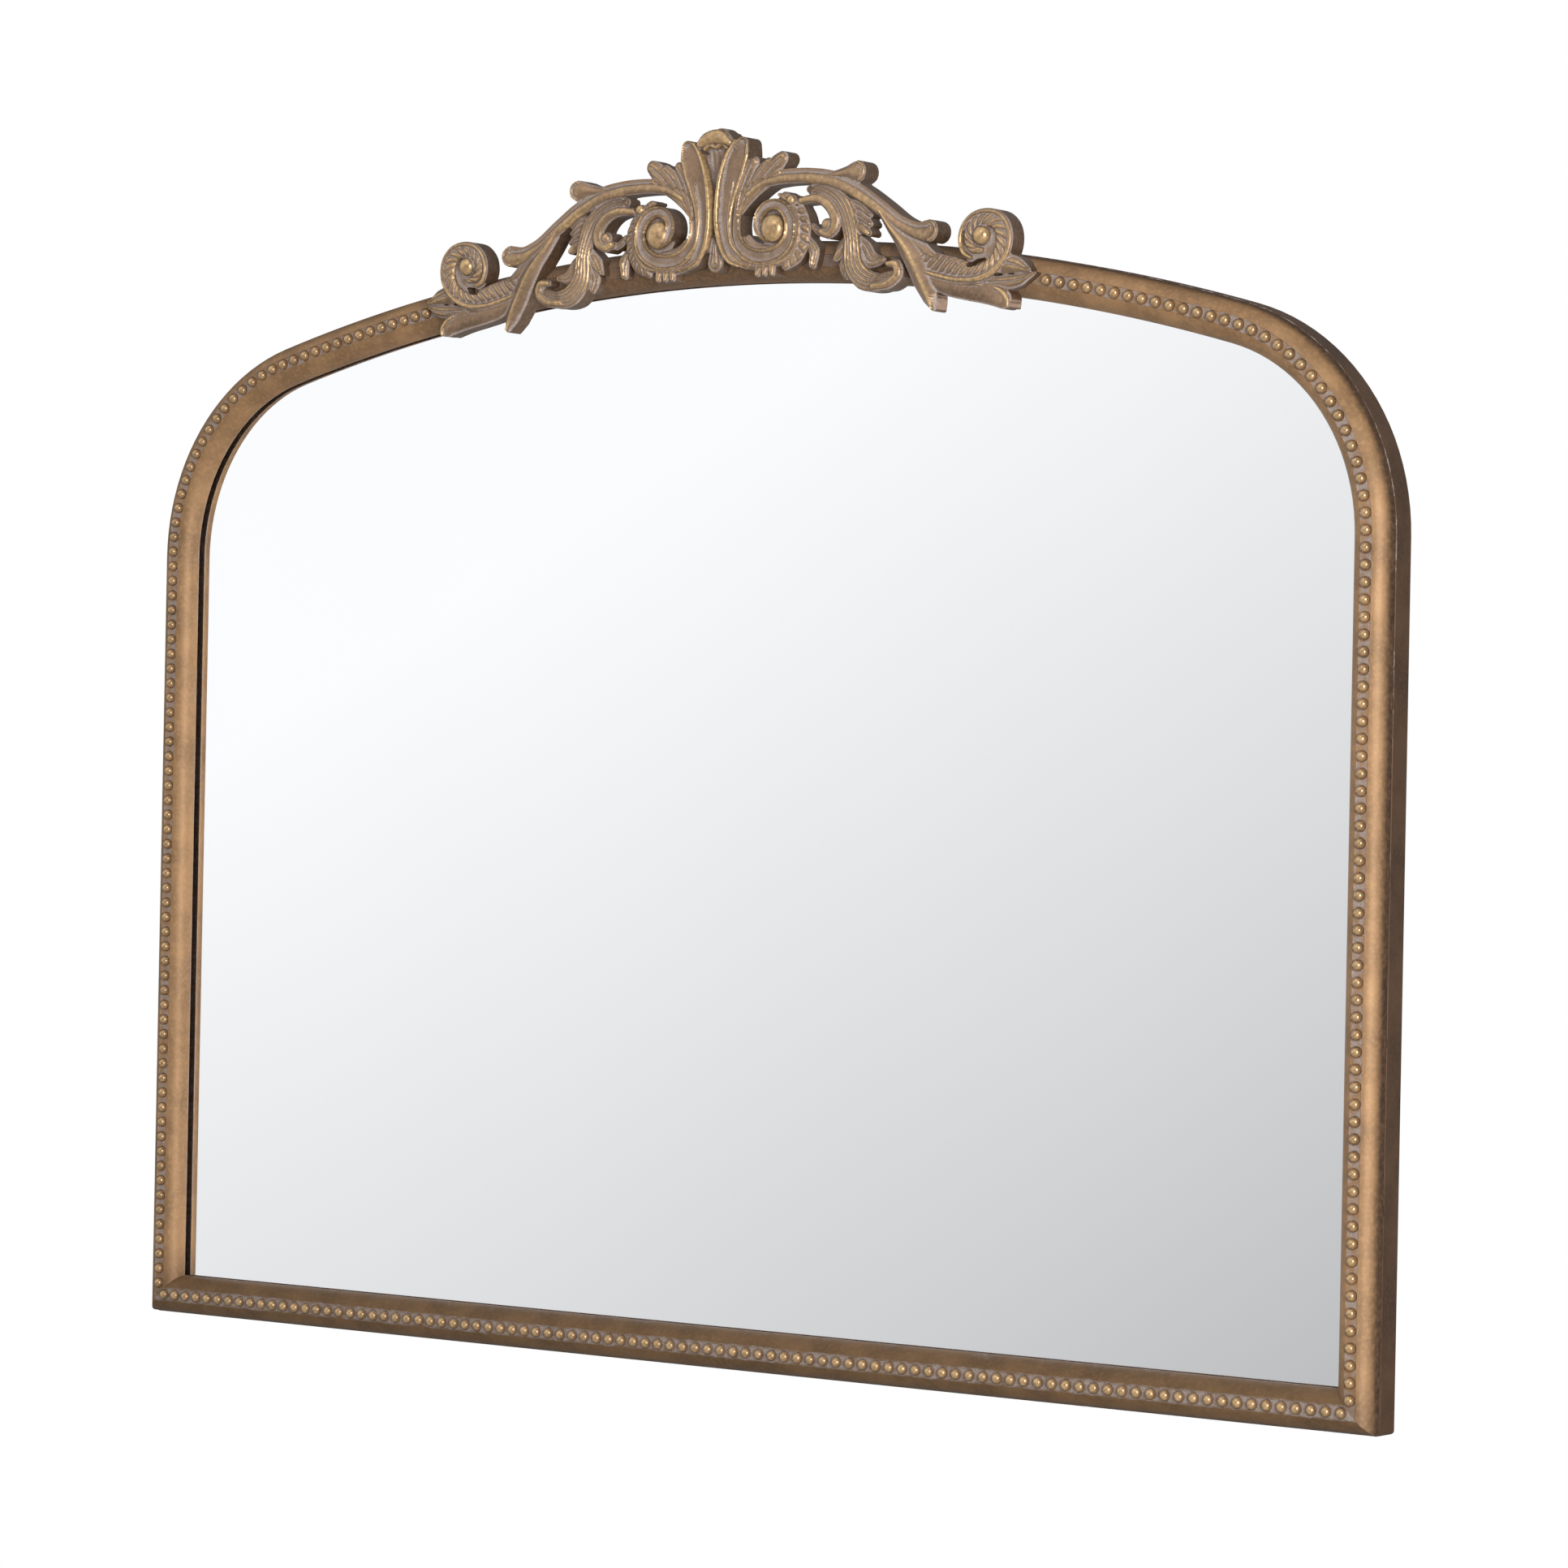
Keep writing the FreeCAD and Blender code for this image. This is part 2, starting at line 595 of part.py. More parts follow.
def volute_forms():
    """The end volute with its stem, the long leaf below it and the pointed leaf on the frame."""
    wheel = rosette(VOLUTE_CENTRE, VOLUTE_RADIUS, VOLUTE_EYE_RADIUS, CREST_BOSS)
    stem = ribbon([(134, 5), (148, -8), (166, -14.5), (184, -15.5), (202, -10)],
                  [10, 13, 13, 11, 9], CREST_CROWN, CREST_EDGE)
    leaf = ribbon([(152, -18), (170, -24), (188, -26.5), (202, -29), (212, -33)],
                  [8, 9, 10, 10, 6], CREST_HOLLOW, CREST_EDGE)
    point = ribbon([(194, -12), (206, -12), (217, -14), (228, -17)],
                   [8, 11, 9, 2], CREST_CROWN - 2 * RELIEF_STEP, CREST_EDGE - RELIEF_STEP)
    return [wheel, stem, leaf, point]


def acanthus_forms():
    """The leaf spray under the rail, with its inner hook and curled lower tip."""
    main = ribbon([(58, 39), (74, 38), (88, 32), (97, 21), (102, 8), (107, -6), (117, -14), (130, -12)],
                  [7, 11, 13, 14, 13, 16, 15, 8], CREST_CROWN - RELIEF_STEP, CREST_EDGE - 2 * RELIEF_STEP)
    lobe = ribbon([(94, 28), (106, 27), (119, 18)],
                  [6, 11, 4], CREST_CROWN - 2 * RELIEF_STEP, CREST_EDGE - 3 * RELIEF_STEP)
    cup = ribbon([(102, 6), (113, 1), (124, -1)],
                 [7, 10, 5], CREST_CROWN - 2 * RELIEF_STEP, CREST_EDGE - 3 * RELIEF_STEP)
    inner = ribbon([(98, 14), (89, 5), (84, -6)],
                   [8, 12, 6], CREST_CROWN - 2 * RELIEF_STEP, CREST_EDGE - 3 * RELIEF_STEP)
    stem = ribbon([(68, 37), (79, 33), (87, 26), (86, 16)],
                  [5, 6, 7, 6], CREST_CROWN, CREST_EDGE - RELIEF_STEP)
    hook = rosette(HOOK_CENTRE, HOOK_RADIUS, HOOK_BALL_RADIUS, CREST_CROWN + RELIEF_STEP)
    return [main, lobe, cup, inner, stem, hook]


def scroll_forms():
    """The C-scroll beside the palmette: its boss, the band that winds round it and the cuff below."""
    wheel = rosette(SCROLL_CENTRE, SCROLL_RADIUS, SCROLL_BOSS_RADIUS, CREST_BOSS)
    band = ribbon([(7, 16), (11, 6), (22, -1), (37, -3), (52, 1), (61, 12), (61, 26), (52, 36)],
                  [8, 9, 9, 9, 9, 8.5, 8, 6], CREST_CROWN, CREST_EDGE)
    arch = ribbon([(40, 46), (27, 42), (18, 32), (15.5, 20), (19, 10), (28, 6)],
                  [6, 7, 8, 8, 8, 7], CREST_CROWN - RELIEF_STEP, CREST_EDGE - RELIEF_STEP)
    frill = ribbon([(64, 20), (69, 10), (70, -2)],
                   [6, 10, 6], CREST_CROWN - 2 * RELIEF_STEP, CREST_EDGE - 3 * RELIEF_STEP)
    cuff = ribbon([(30, -2), (40, -6), (51, -1)],
                  [7, 9, 6], CREST_CROWN - 3 * RELIEF_STEP, CREST_EDGE - 3 * RELIEF_STEP)
    return [wheel, band, arch, frill, cuff]


def palmette_forms():
    """Half of the middle leaf fan: the tall hollow leaf and the ribbed spray beside it."""
    leaf = ribbon([(11, 1), (7, 10), (7, 22), (9, 36), (12.5, 51), (16, 63), (19, 72)],
                  [7, 10, 12, 16, 20, 15, 3], CREST_HOLLOW + RELIEF_STEP, CREST_CROWN)
    spray = ribbon([(20, 34), (28, 46), (38, 54.5), (50, 59)],
                   [8, 15, 13, 4], CREST_CROWN - 2 * RELIEF_STEP, CREST_EDGE)
    return [leaf, spray]


def centre_forms():
    """The bud at the top of the palmette, the small fan under it and the pendant at its foot."""
    bud = ribbon([(-11, 70), (-6, 73), (0, 74), (6, 73), (11, 70)],
                 [5, 9, 11, 9, 5], CREST_CROWN + RELIEF_STEP, CREST_EDGE)
    fan = ribbon([(0, 12), (0, 40), (0, 56), (0, 69)],
                 [3, 5, 10, 15], CREST_HOLLOW, CREST_HOLLOW - 2 * RELIEF_STEP)
    pendant = ribbon([(0, 14), (0, 6), (0, -1)], [4, 8, 12], CREST_CROWN - 3 * RELIEF_STEP, CREST_HOLLOW)
    return [bud, fan, pendant]


def saddle_channel():
    """Flat-floored channel along the crown that lets the crest sit over the half-round's nose."""
    nose = math.sqrt(MOULDING_RADIUS**2 - (GROOVE_WIDTH / 2)**2) + SEAT_CLEARANCE
    back = -SEAM - CREST_BACK
    half = math.sqrt(MOULDING_RADIUS**2 - back**2) + SEAT_CLEARANCE
    floor = SEAM - nose
    centre = vector(0, floor, CROWN_CENTRE)
    outer = Part.makeCylinder(CROWN_RADIUS + half, nose, centre, vector(0, 1, 0))
    inner = Part.makeCylinder(CROWN_RADIUS - half, nose, centre, vector(0, 1, 0))
    return outer.cut(inner)


def crest():
    """One casting, saddled over the half-round and held on two pins."""
    half = rail_forms() + volute_forms() + acanthus_forms() + scroll_forms() + palmette_forms()
    right = half[0].multiFuse(half[1:])
    casting = right.multiFuse([mirrored(right)] + centre_forms())
    casting = casting.cut(saddle_channel())
    for x in PIN_POSITIONS:
        casting = casting.cut(crest_pin(x, PIN_CLEARANCE))
    return casting.removeSplitter()


NODES = {
    "moulding_bow": moulding_bow,
    "moulding_rail": moulding_rail,
    "rim_bow": rim_bow,
    "rim_rail": rim_rail,
    "bow_beading": bow_beading,
    "rail_beading": rail_beading,
    "crest": crest,
    "crest_pins": crest_pins,
    "glass_pads": glass_pads,
    "setting_blocks": setting_blocks,
    "mirror_glass": mirror_glass,
    "backing_board": backing_board,
    "board_tabs": board_tabs,
    "hanger_plate_left": lambda: hanger_plate(-1),
    "hanger_plate_right": lambda: hanger_plate(1),
    "hanger_ring_left": lambda: hanger_ring(-1),
    "hanger_ring_right": lambda: hanger_ring(1),
    "hanger_screws": hanger_screws,
    "wall_bumpers": wall_bumpers,
}

os.makedirs("parts", exist_ok=True)
for name, make in NODES.items():
    shape = make()
    shape.exportStep(f"parts/{name}.step")
    state = "valid" if shape.isValid() else "INVALID"
    print(name, len(shape.Solids), "solids", round(shape.Volume), "mm3", state)
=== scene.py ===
import math

import bmesh
import bpy
import numpy as np
from bpy.props import FloatProperty, FloatVectorProperty, PointerProperty
from mathutils import Matrix, Vector


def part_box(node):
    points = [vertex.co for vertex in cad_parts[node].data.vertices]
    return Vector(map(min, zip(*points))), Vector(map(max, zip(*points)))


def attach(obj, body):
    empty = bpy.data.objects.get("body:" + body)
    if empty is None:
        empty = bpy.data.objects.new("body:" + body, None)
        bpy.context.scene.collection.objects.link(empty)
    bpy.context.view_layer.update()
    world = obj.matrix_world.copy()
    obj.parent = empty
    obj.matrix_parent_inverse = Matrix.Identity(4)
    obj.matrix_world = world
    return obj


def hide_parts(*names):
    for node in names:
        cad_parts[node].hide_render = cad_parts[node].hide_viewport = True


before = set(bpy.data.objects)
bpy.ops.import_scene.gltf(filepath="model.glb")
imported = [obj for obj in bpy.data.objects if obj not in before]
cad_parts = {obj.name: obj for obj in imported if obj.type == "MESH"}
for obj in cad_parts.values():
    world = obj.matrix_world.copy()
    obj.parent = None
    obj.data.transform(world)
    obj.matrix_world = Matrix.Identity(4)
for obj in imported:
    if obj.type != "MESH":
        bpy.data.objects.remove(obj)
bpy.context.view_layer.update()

bl_info = {
    "name": "Arched Mirror",
    "version": (1, 0, 0),
    "blender": (4, 5, 0),
    "location": "View3D > Sidebar > Mirror",
    "description": "Dresses an arched wall mirror with a beaded frame and a cast scrollwork crest",
    "category": "Object",
}

MM = 0.001
BODY = "mirror_body"

# Steps of the meshes round a shoulder, round the crown and over one flank of the half-round
CORNER_STEPS = 22
CROWN_STEPS = 56
FLANK_STEPS = 12


# Settings

def length(name, description, default):
    return FloatProperty(name=name, description=description, default=default, unit="LENGTH", precision=4)


def colour(name, description, default):
    return FloatVectorProperty(name=name, description=description, default=default, subtype="COLOR",
                               size=3, min=0.0, max=1.0)


class MirrorSizes(bpy.types.PropertyGroup):
    """Sizes of the frame, shared by every piece that follows the arch."""
    width: length("Width", "Overall width of the frame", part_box("rim_bow")[1].x * 2)
    leg_height: length("Leg height", "From the bottom edge to the springing line", -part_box("rim_bow")[0].z)
    corner_radius: length("Corner radius", "Shoulder radius on the bead line", 0.125)
    crown_rise: length("Crown rise", "Bead line at the crown above the springing line", 0.169)
    moulding_radius: length("Moulding radius", "Radius of the half-round", 0.012)
    seam_step: length("Seam step", "How far the rim stands out past the half-round", 0.0005)
    seam_depth: length("Seam depth", "Distance of the half-round's flat back from the wall",
                       -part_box("rim_bow")[0].y)
    rim_rear: length("Rim rear", "Distance of the rim's rear edge from the wall", -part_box("rim_bow")[1].y)
    rim_thickness: length("Rim thickness", "Thickness of the flat bar", 0.003)
    groove_width: length("Groove width", "Width of the bead groove", 0.0072)
    groove_floor: length("Groove floor", "Distance of the groove's floor from the wall",
                         -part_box("bow_beading")[1].y)
    bead_diameter: length("Bead diameter", "Diameter of a pearl", 0.0068)
    bead_height: length("Bead height", "Height of a pearl over the groove's floor", 0.0036)
    bead_pitch: length("Bead pitch", "Distance between pearls", 0.00945)
    foot_shade: length("Foot shade", "Stretch over the lower corners where the legs darken", 0.034)
    edge_ease: length("Edge ease", "Chamfer along the rim's edges", 0.0004)
    foot_round: length("Foot round", "Rounding of the rim's lower corners", 0.0022)
    tack_pitch: length("Tack pitch", "Distance between weld tacks on the outer seam", 0.092)
    tack_start: length("Tack start", "Height of the lowest weld tack over the bottom edge", 0.03)
    tack_inset: length("Tack inset", "From the half-round's side in to the middle of a tack", 0.0003)
    tack_lead: length("Tack lead", "From the seam forward to the middle of a tack", 0.0002)
    tack_size: FloatVectorProperty(name="Tack size", description="Half sizes of a weld tack", size=3,
                                   default=(0.00078, 0.0019, 0.0042), unit="LENGTH", precision=5)


class CrestSizes(bpy.types.PropertyGroup):
    """Sizes of the carved crest."""
    cell: length("Carving cell", "Size of the cells the relief is carved in", 0.0005)
    back: length("Back", "Distance of the crest's flat back from the wall", -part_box("crest")[1].y)
    reach: length("Reach", "From the middle of the crest to its end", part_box("crest")[1].x)


class MirrorFinish(bpy.types.PropertyGroup):
    """Colours of the finishes."""
    bronze: colour("Bronze", "Brown bronze of the moulding", (0.43, 0.245, 0.115))
    casting: colour("Casting", "Greyer bronze of the cast crest", (0.305, 0.196, 0.122))
    # Dark bronze is also laid on as painted shade: under the crest, on the feet, on the crest's walls and round
    # the pearls' bases
    dark_bronze: colour("Dark bronze", "Dark brown of the rim and the outer flank", (0.11, 0.062, 0.036))
    gold: colour("Gold", "Gold rubbed on ridges and pearls", (0.64, 0.42, 0.21))
    glaze: colour("Glaze", "Pale glaze left in grooves", (0.48, 0.39, 0.345))
    silver: colour("Silver", "Silvering behind the glass", (0.968, 0.978, 0.998))
    board: colour("Board", "Raw fibreboard", (0.4, 0.275, 0.165))
    zinc: colour("Zinc", "Zinc-plated steel", (0.62, 0.61, 0.58))
    felt: colour("Felt", "Felt of the wall bumpers", (0.035, 0.032, 0.03))


class StageSettings(bpy.types.PropertyGroup):
    """Camera and light."""
    camera_turn: FloatProperty(name="Camera turn", description="Turn of the camera to the right of the front",
                               default=math.radians(36.93), subtype="ANGLE")
    camera_lift: FloatProperty(name="Camera lift", description="Angle of the camera over the level",
                               default=math.radians(-0.16), subtype="ANGLE")
    camera_roll: FloatProperty(name="Camera roll", description="Roll of the camera",
                               default=math.radians(1.12), subtype="ANGLE")
    camera_distance: length("Camera distance", "Distance of the camera from its target", 3.061)
    target_side: length("Target side", "Where the camera looks, to the right of the middle", 0.0314)
    target_height: length("Target height", "Where the camera looks, over the springing line", -0.1402)
    lens: FloatProperty(name="Lens", description="Focal length in millimetres", default=118.08)
    floor_height: length("Floor height", "Height of the floor under the hung mirror", -0.95)
    key_power: FloatProperty(name="Key light", description="Power of the key light in watts", default=66.0)
    fill_power: FloatProperty(name="Fill light", description="Power of the fill light in watts", default=9.0)
    sky: FloatProperty(name="Sky", description="Strength of the surrounding light on matt surfaces", default=0.25)


# Arch: the bead line, and everything that follows it

class Arch:
    """The bead line of the frame: two legs, two corner arcs and the crown arc."""

    def __init__(self, sizes):
        outer = sizes.moulding_radius + sizes.seam_step
        self.half = sizes.width / 2 - outer
        self.bottom = outer - sizes.leg_height
        self.corner = sizes.corner_radius
        self.side = self.half - self.corner
        rise = sizes.crown_rise
        self.crown = (self.side**2 + rise**2 - self.corner**2) / (2 * (rise - self.corner))
        self.centre = rise - self.crown
        self.turn = math.atan2(-self.centre, self.side)

    def bend(self, bm, edges):
        """Carries edges at the top of the right leg round the arch, to the top of the left leg."""
        for x, z, angle, steps in ((self.side, 0, self.turn, CORNER_STEPS),
                                   (0, self.centre, math.pi - 2 * self.turn, CROWN_STEPS),
                                   (-self.side, 0, self.turn, CORNER_STEPS)):
            edges = spun(bm, edges, (x, 0, z), angle, steps)
        return edges


# Small helpers for meshes

def only(kind, items):
    return [item for item in items if isinstance(item, kind)]


def unique(items):
    """The items once each, in the order they come."""
    return list(dict.fromkeys(items))


def ends(edges):
    return unique(vert for edge in edges for vert in edge.verts)


def clamped(value):
    return min(1.0, max(0.0, value))


def extruded(bm, edges, by=(0, 0, 0)):
    made = bmesh.ops.extrude_edge_only(bm, edges=edges)["geom"]
    bmesh.ops.translate(bm, verts=only(bmesh.types.BMVert, made), vec=by)
    return only(bmesh.types.BMEdge, made)


def levelled(edges, height):
    """Brings the ends of edges to one height."""
    for vert in ends(edges):
        vert.co.z = height
    return edges


def spun(bm, edges, centre, angle, steps):
    """Spins edges about the centre, anticlockwise seen from the front where the angle is positive."""
    made = bmesh.ops.spin(bm, geom=ends(edges) + edges, cent=centre, axis=(0, -1, 0), angle=angle, steps=steps)
    return only(bmesh.types.BMEdge, made["geom_last"])


def chain(bm, points):
    """Closed ring of edges through a few points, each point (x, y, z, wear, dark); dark lays dark bronze on, as
    painted shade and patina.
    """
    wear = bm.verts.layers.float.new("wear")
    shade_and_patina = bm.verts.layers.float.new("shade_and_patina")
    verts = []
    for x, y, z, rubbed, dark in points:
        vert = bm.verts.new((x, y, z))
        vert[wear] = rubbed
        vert[shade_and_patina] = dark
        verts.append(vert)
    return [bm.edges.new(pair) for pair in zip(verts, verts[1:] + verts[:1])]


def capped(bm):
    """Closes the open ends."""
    bmesh.ops.holes_fill(bm, edges=[edge for edge in bm.edges if edge.is_boundary], sides=0)


def finish_mesh(bm, name, sharp=40.0):
    """Closes, cleans and turns a bmesh outwards, and makes an object of it."""
    bmesh.ops.remove_doubles(bm, verts=bm.verts, dist=1e-6)
    capped(bm)
    bmesh.ops.recalc_face_normals(bm, faces=bm.faces)
    return make_object(bm, name, sharp)


def make_object(bm, name, sharp=40.0):
    for face in bm.faces:
        face.smooth = True
    limit = math.radians(sharp)
    for edge in bm.edges:
        edge.smooth = edge.calc_face_angle(0.0) < limit
    mesh = bpy.data.meshes.new(name)
    bm.to_mesh(mesh)
    bm.free()
    piece = bpy.data.objects.new(name, mesh)
    bpy.context.scene.collection.objects.link(piece)
    return piece


def eased(bm, edges, offset, segments):
    bmesh.ops.bevel(bm, geom=edges, offset=offset, offset_type="OFFSET", segments=segments, profile=0.5,
                    affect="EDGES", material=-1)


def rounded_copy(node, name, offset, segments):
    """Piece made from a copy of a CAD node, with its sharp edges rounded."""
    bm = bmesh.new()
    bm.from_mesh(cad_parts[node].data)
    bmesh.ops.remove_doubles(bm, verts=bm.verts, dist=1e-6)
    bmesh.ops.dissolve_limit(bm, angle_limit=math.radians(1), verts=bm.verts, edges=bm.edges)
    sharp = math.radians(40)
    eased(bm, [edge for edge in bm.edges if edge.calc_face_angle(0.0) > sharp], offset, segments)
    bmesh.ops.recalc_face_normals(bm, faces=bm.faces)
    return make_object(bm, name, 20.0)


def dress(piece, material, body, slot, *nodes):
    """Gives a new piece its finish, the body it rides on and the nodes it stands for."""
    piece.data.materials.clear()
    piece.data.materials.append(material)
    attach(piece, body)
    if nodes:
        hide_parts(*nodes)
    return piece


def cover(node, material):
    """Gives a CAD node a better finish."""
    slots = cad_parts[node].data.materials
    slots.clear()
    slots.append(material)


# Shader maths as expressions

class Reading:
    """Wraps an output socket, so that shader maths reads as an expression."""

    def __init__(self, graph, socket):
        self.graph = graph
        self.socket = socket

    def math(self, operation, *values, clamp=False):
        inputs = dict(enumerate([self, *values]))
        return self.graph.node("ShaderNodeMath", {"operation": operation, "use_clamp": clamp}, inputs)

    def __add__(self, other):
        return self.math("ADD", other)

    def __sub__(self, other):
        return self.math("SUBTRACT", other)

    def __rsub__(self, other):
        return self.graph.node("ShaderNodeMath", {"operation": "SUBTRACT"}, {0: other, 1: self})

    def __mul__(self, other):
        return self.math("MULTIPLY", other)

    __radd__ = __add__
    __rmul__ = __mul__

    def within(self, low, high):
        """0 at low and under, 1 at high and over, smooth between."""
        settings = {"interpolation_type": "SMOOTHSTEP"}
        return self.graph.node("ShaderNodeMapRange", settings, {"Value": self, "From Min": low, "From Max": high})

    def swing(self, amount):
        """A noise about its middle, as high as the amount."""
        return (self - 0.5) * amount


class Graph:
    """A node tree under construction."""

    def __init__(self, tree):
        self.tree = tree

    def node(self, kind, settings, inputs, output=0):
        made = self.tree.nodes.new(kind)
        for name, value in settings.items():
            setattr(made, name, value)
        for key, value in inputs.items():
            self.feed(made.inputs[key], value)
        return Reading(self, made.outputs[output])

    def feed(self, socket, value):
        if isinstance(value, Reading):
            self.tree.links.new(value.socket, socket)
        else:
            socket.default_value = value


class Finish(Graph):
    """A material under construction."""

    def __init__(self, name):
        self.material = bpy.data.materials.new(name)
        self.material.use_nodes = True
        super().__init__(self.material.node_tree)
        self.shader = self.tree.nodes["Principled BSDF"]
        self.point = self.node("ShaderNodeTexCoord", {}, {}, "Object")

    def noise(self, scale, detail=3.0, stretch=None, roughness=0.55):
        point = self.point
        if stretch:
            point = self.node("ShaderNodeMapping", {}, {"Vector": point, "Scale": stretch})
        return self.node("ShaderNodeTexNoise", {}, {"Vector": point, "Scale": scale, "Detail": detail,
                                                    "Roughness": roughness})

    def mix(self, factor, first, second):
        inputs = {0: factor, 6: rgba(first), 7: rgba(second)}
        return self.node("ShaderNodeMix", {"data_type": "RGBA"}, inputs, 2)

    def shades(self, factor, base, dark, light):
        """A darker and a lighter shade of one colour, mixed by the factor."""
        return self.mix(factor, scaled(base, dark), scaled(base, light))

    def attribute(self, name):
        return self.node("ShaderNodeAttribute", {"attribute_name": name}, {}, "Fac")

    def bump(self, height, strength, distance):
        normal = self.node("ShaderNodeBump", {}, {"Strength": strength, "Distance": distance, "Height": height})
        self.set("Normal", normal)

    def set(self, name, value):
        self.feed(self.shader.inputs[name], value)


def rgba(value):
    return value if isinstance(value, Reading) else (*value, 1.0)


def scaled(colour_value, factor):
    return tuple(min(1.0, part * factor) for part in colour_value)


def antique_finish(name, colours, base, gold, glaze, metal, rough, gloss=0.5):
    """Bronze paint with gold rubbed on what stands out, pale glaze in what lies low, and dark bronze laid on as
    painted shade and patina where the vertices ask for it.
    gold and glaze each give the wear where it starts to change and where it is done."""
    finish = Finish(name)
    wear = finish.attribute("wear")
    shade_and_patina = finish.attribute("shade_and_patina")
    cloud = finish.noise(38.0, 4.0)
    patch = finish.noise(170.0)
    grain = finish.noise(420.0)
    speck = finish.noise(1500.0, 2.0)
    tone = finish.shades(cloud.within(0.3, 0.72), base, 0.74, 1.18)
    tone = finish.mix(grain.within(0.42, 0.7) * 0.4, tone, scaled(base, 1.55))
    leaf = finish.shades(grain.within(0.3, 0.75), colours.gold, 0.78, 1.2)
    rubbed = (wear + cloud.swing(0.16) + grain.swing(0.12)).within(*gold)
    tone = finish.mix(rubbed, tone, leaf)
    pale = finish.shades(speck.within(0.35, 0.7), colours.glaze, 0.62, 1.22)
    clear = (wear + cloud.swing(0.2) + patch.swing(0.36) + grain.swing(0.2)).within(*glaze)
    washed = (1 - clear) * 0.92
    tone = finish.mix(washed, tone, pale)
    # Painted shade and patina: dark bronze laid on where the vertices ask for it
    dark = finish.shades(grain.within(0.35, 0.7), colours.dark_bronze, 0.6, 1.25)
    shade_and_patina_share = (shade_and_patina + cloud.swing(0.5) * shade_and_patina).math("MULTIPLY", 0.95, clamp=True)
    finish.set("Base Color", finish.mix(shade_and_patina_share, tone, dark))
    finish.set("Metallic", (1 - washed) * metal)
    roughness = rough + grain.swing(0.22) - rubbed * 0.1 + washed * 0.25
    finish.set("Roughness", roughness.math("ADD", 0.0, clamp=True))
    finish.set("Specular IOR Level", gloss)
    finish.bump(grain * 0.7 + speck * 0.3, 0.22, 0.0004)
    return finish.material


def satin_metal(name, base, metal, rough, scale):
    """Even metal paint or plating with fine mottling."""
    finish = Finish(name)
    cloud = finish.noise(scale, 4.0)
    grain = finish.noise(scale * 14)
    tone = finish.shades(cloud.within(0.3, 0.7), base, 0.8, 1.22)
    tone = finish.mix(grain.within(0.5, 0.75) * 0.35, tone, scaled(base, 1.5))
    finish.set("Base Color", tone)
    finish.set("Metallic", metal)
    finish.set("Roughness", rough + grain.swing(0.2))
    finish.bump(grain, 0.15, 0.0003)
    return finish.material


def silvering(colours):
    finish = Finish("silvered_glass")
    haze = finish.noise(3.0, 2.0)
    finish.set("Base Color", finish.shades(haze.within(0.3, 0.7), colours.silver, 0.99, 1.0))
    finish.set("Metallic", 1.0)
    finish.set("Roughness", haze * 0.012)
    return finish.material


def fibreboard(colours):
    finish = Finish("raw_fibreboard")
    fibre = finish.noise(900.0, 5.0, (1.0, 1.0, 0.35))
    patch = finish.noise(14.0, 4.0)
    chip = finish.noise(190.0, 4.0, (1.0, 1.0, 0.5), 0.7)
    tone = finish.shades(fibre.within(0.3, 0.75), colours.board, 0.68, 1.28)
    tone = finish.mix(chip.within(0.5, 0.72) * 0.55, tone, scaled(colours.board, 1.5))
    tone = finish.mix(chip.within(0.5, 0.3) * 0.5, tone, scaled(colours.board, 0.55))
    finish.set("Base Color", finish.mix(patch.within(0.35, 0.68) * 0.45, tone, scaled(colours.board, 0.72)))
    finish.set("Roughness", 0.78 + fibre.swing(0.2))
    finish.bump(fibre, 0.3, 0.0004)
    return finish.material


def soft_matt(name, base, scale):
    finish = Finish(name)
    nap = finish.noise(scale, 5.0)
    finish.set("Base Color", finish.shades(nap.within(0.3, 0.7), base, 0.6, 1.6))
    finish.set("Roughness", 0.85 + nap.swing(0.2))
    finish.bump(nap, 0.6, 0.0006)
    return finish.material


# Sections that are swept along the arch

def half_round_section(sizes, place, outward):
    """Points round the grooved half-round; place puts (across, depth) in space. outward is the sign of the side
    away from the glass: that side is darkened down to the seam, and the other ends in a thin pale line, a painted
    highlight along the edge by the glass."""
    radius = sizes.moulding_radius
    lip = sizes.groove_width / 2
    lip_turn = math.acos(lip / radius)
    floor_half = lip * 0.93
    back_half = radius * 0.94
    seam = -sizes.seam_depth
    glazed = {FLANK_STEPS - 1: 0.42, FLANK_STEPS: 0.24}
    flank = []
    for step in range(FLANK_STEPS + 1):
        turn = math.pi - lip_turn * step / FLANK_STEPS
        rubbed = glazed.get(step, 0.34 + 0.22 * step / FLANK_STEPS)
        flank.append((radius * math.cos(turn), seam - radius * math.sin(turn), rubbed))
    points = flank + [(side * floor_half, -sizes.groove_floor, 0.19) for side in (-1, 1)]
    points += [(-across, depth, rubbed) for across, depth, rubbed in reversed(flank)]
    section = []
    for across, depth, rubbed in points:
        low = 1 - (seam - depth) / radius
        dark = 0.0
        if across * outward > 0:
            dark = clamped((low - 0.42) / 0.3)
        elif low > 0.99:
            # Painted highlight: a thin pale line along the edge by the glass
            rubbed = 0.12
        section.append((*place(across, depth), rubbed, dark))
    return section + [(*place(across, seam), 0.5, 1.0) for across in (back_half, -back_half)]


def rim_section(sizes, place):
    """Flat bar with eased edges. The front edge beside the seam holds a line of glaze."""
    outer = sizes.moulding_radius + sizes.seam_step
    inner = outer - sizes.rim_thickness
    front = -sizes.seam_depth
    rear = -sizes.rim_rear
    ease = sizes.edge_ease
    points = [(outer - ease, front, 0.24), (outer, front + ease, 0.3), (outer, front + 3 * ease, 0.5),
              (outer, rear - ease, 0.5), (outer - ease, rear, 0.55), (inner + ease, rear, 0.55),
              (inner, rear - ease, 0.5), (inner, front, 0.5)]
    return [(*place(across, depth), rubbed, 0.0) for across, depth, rubbed in points]


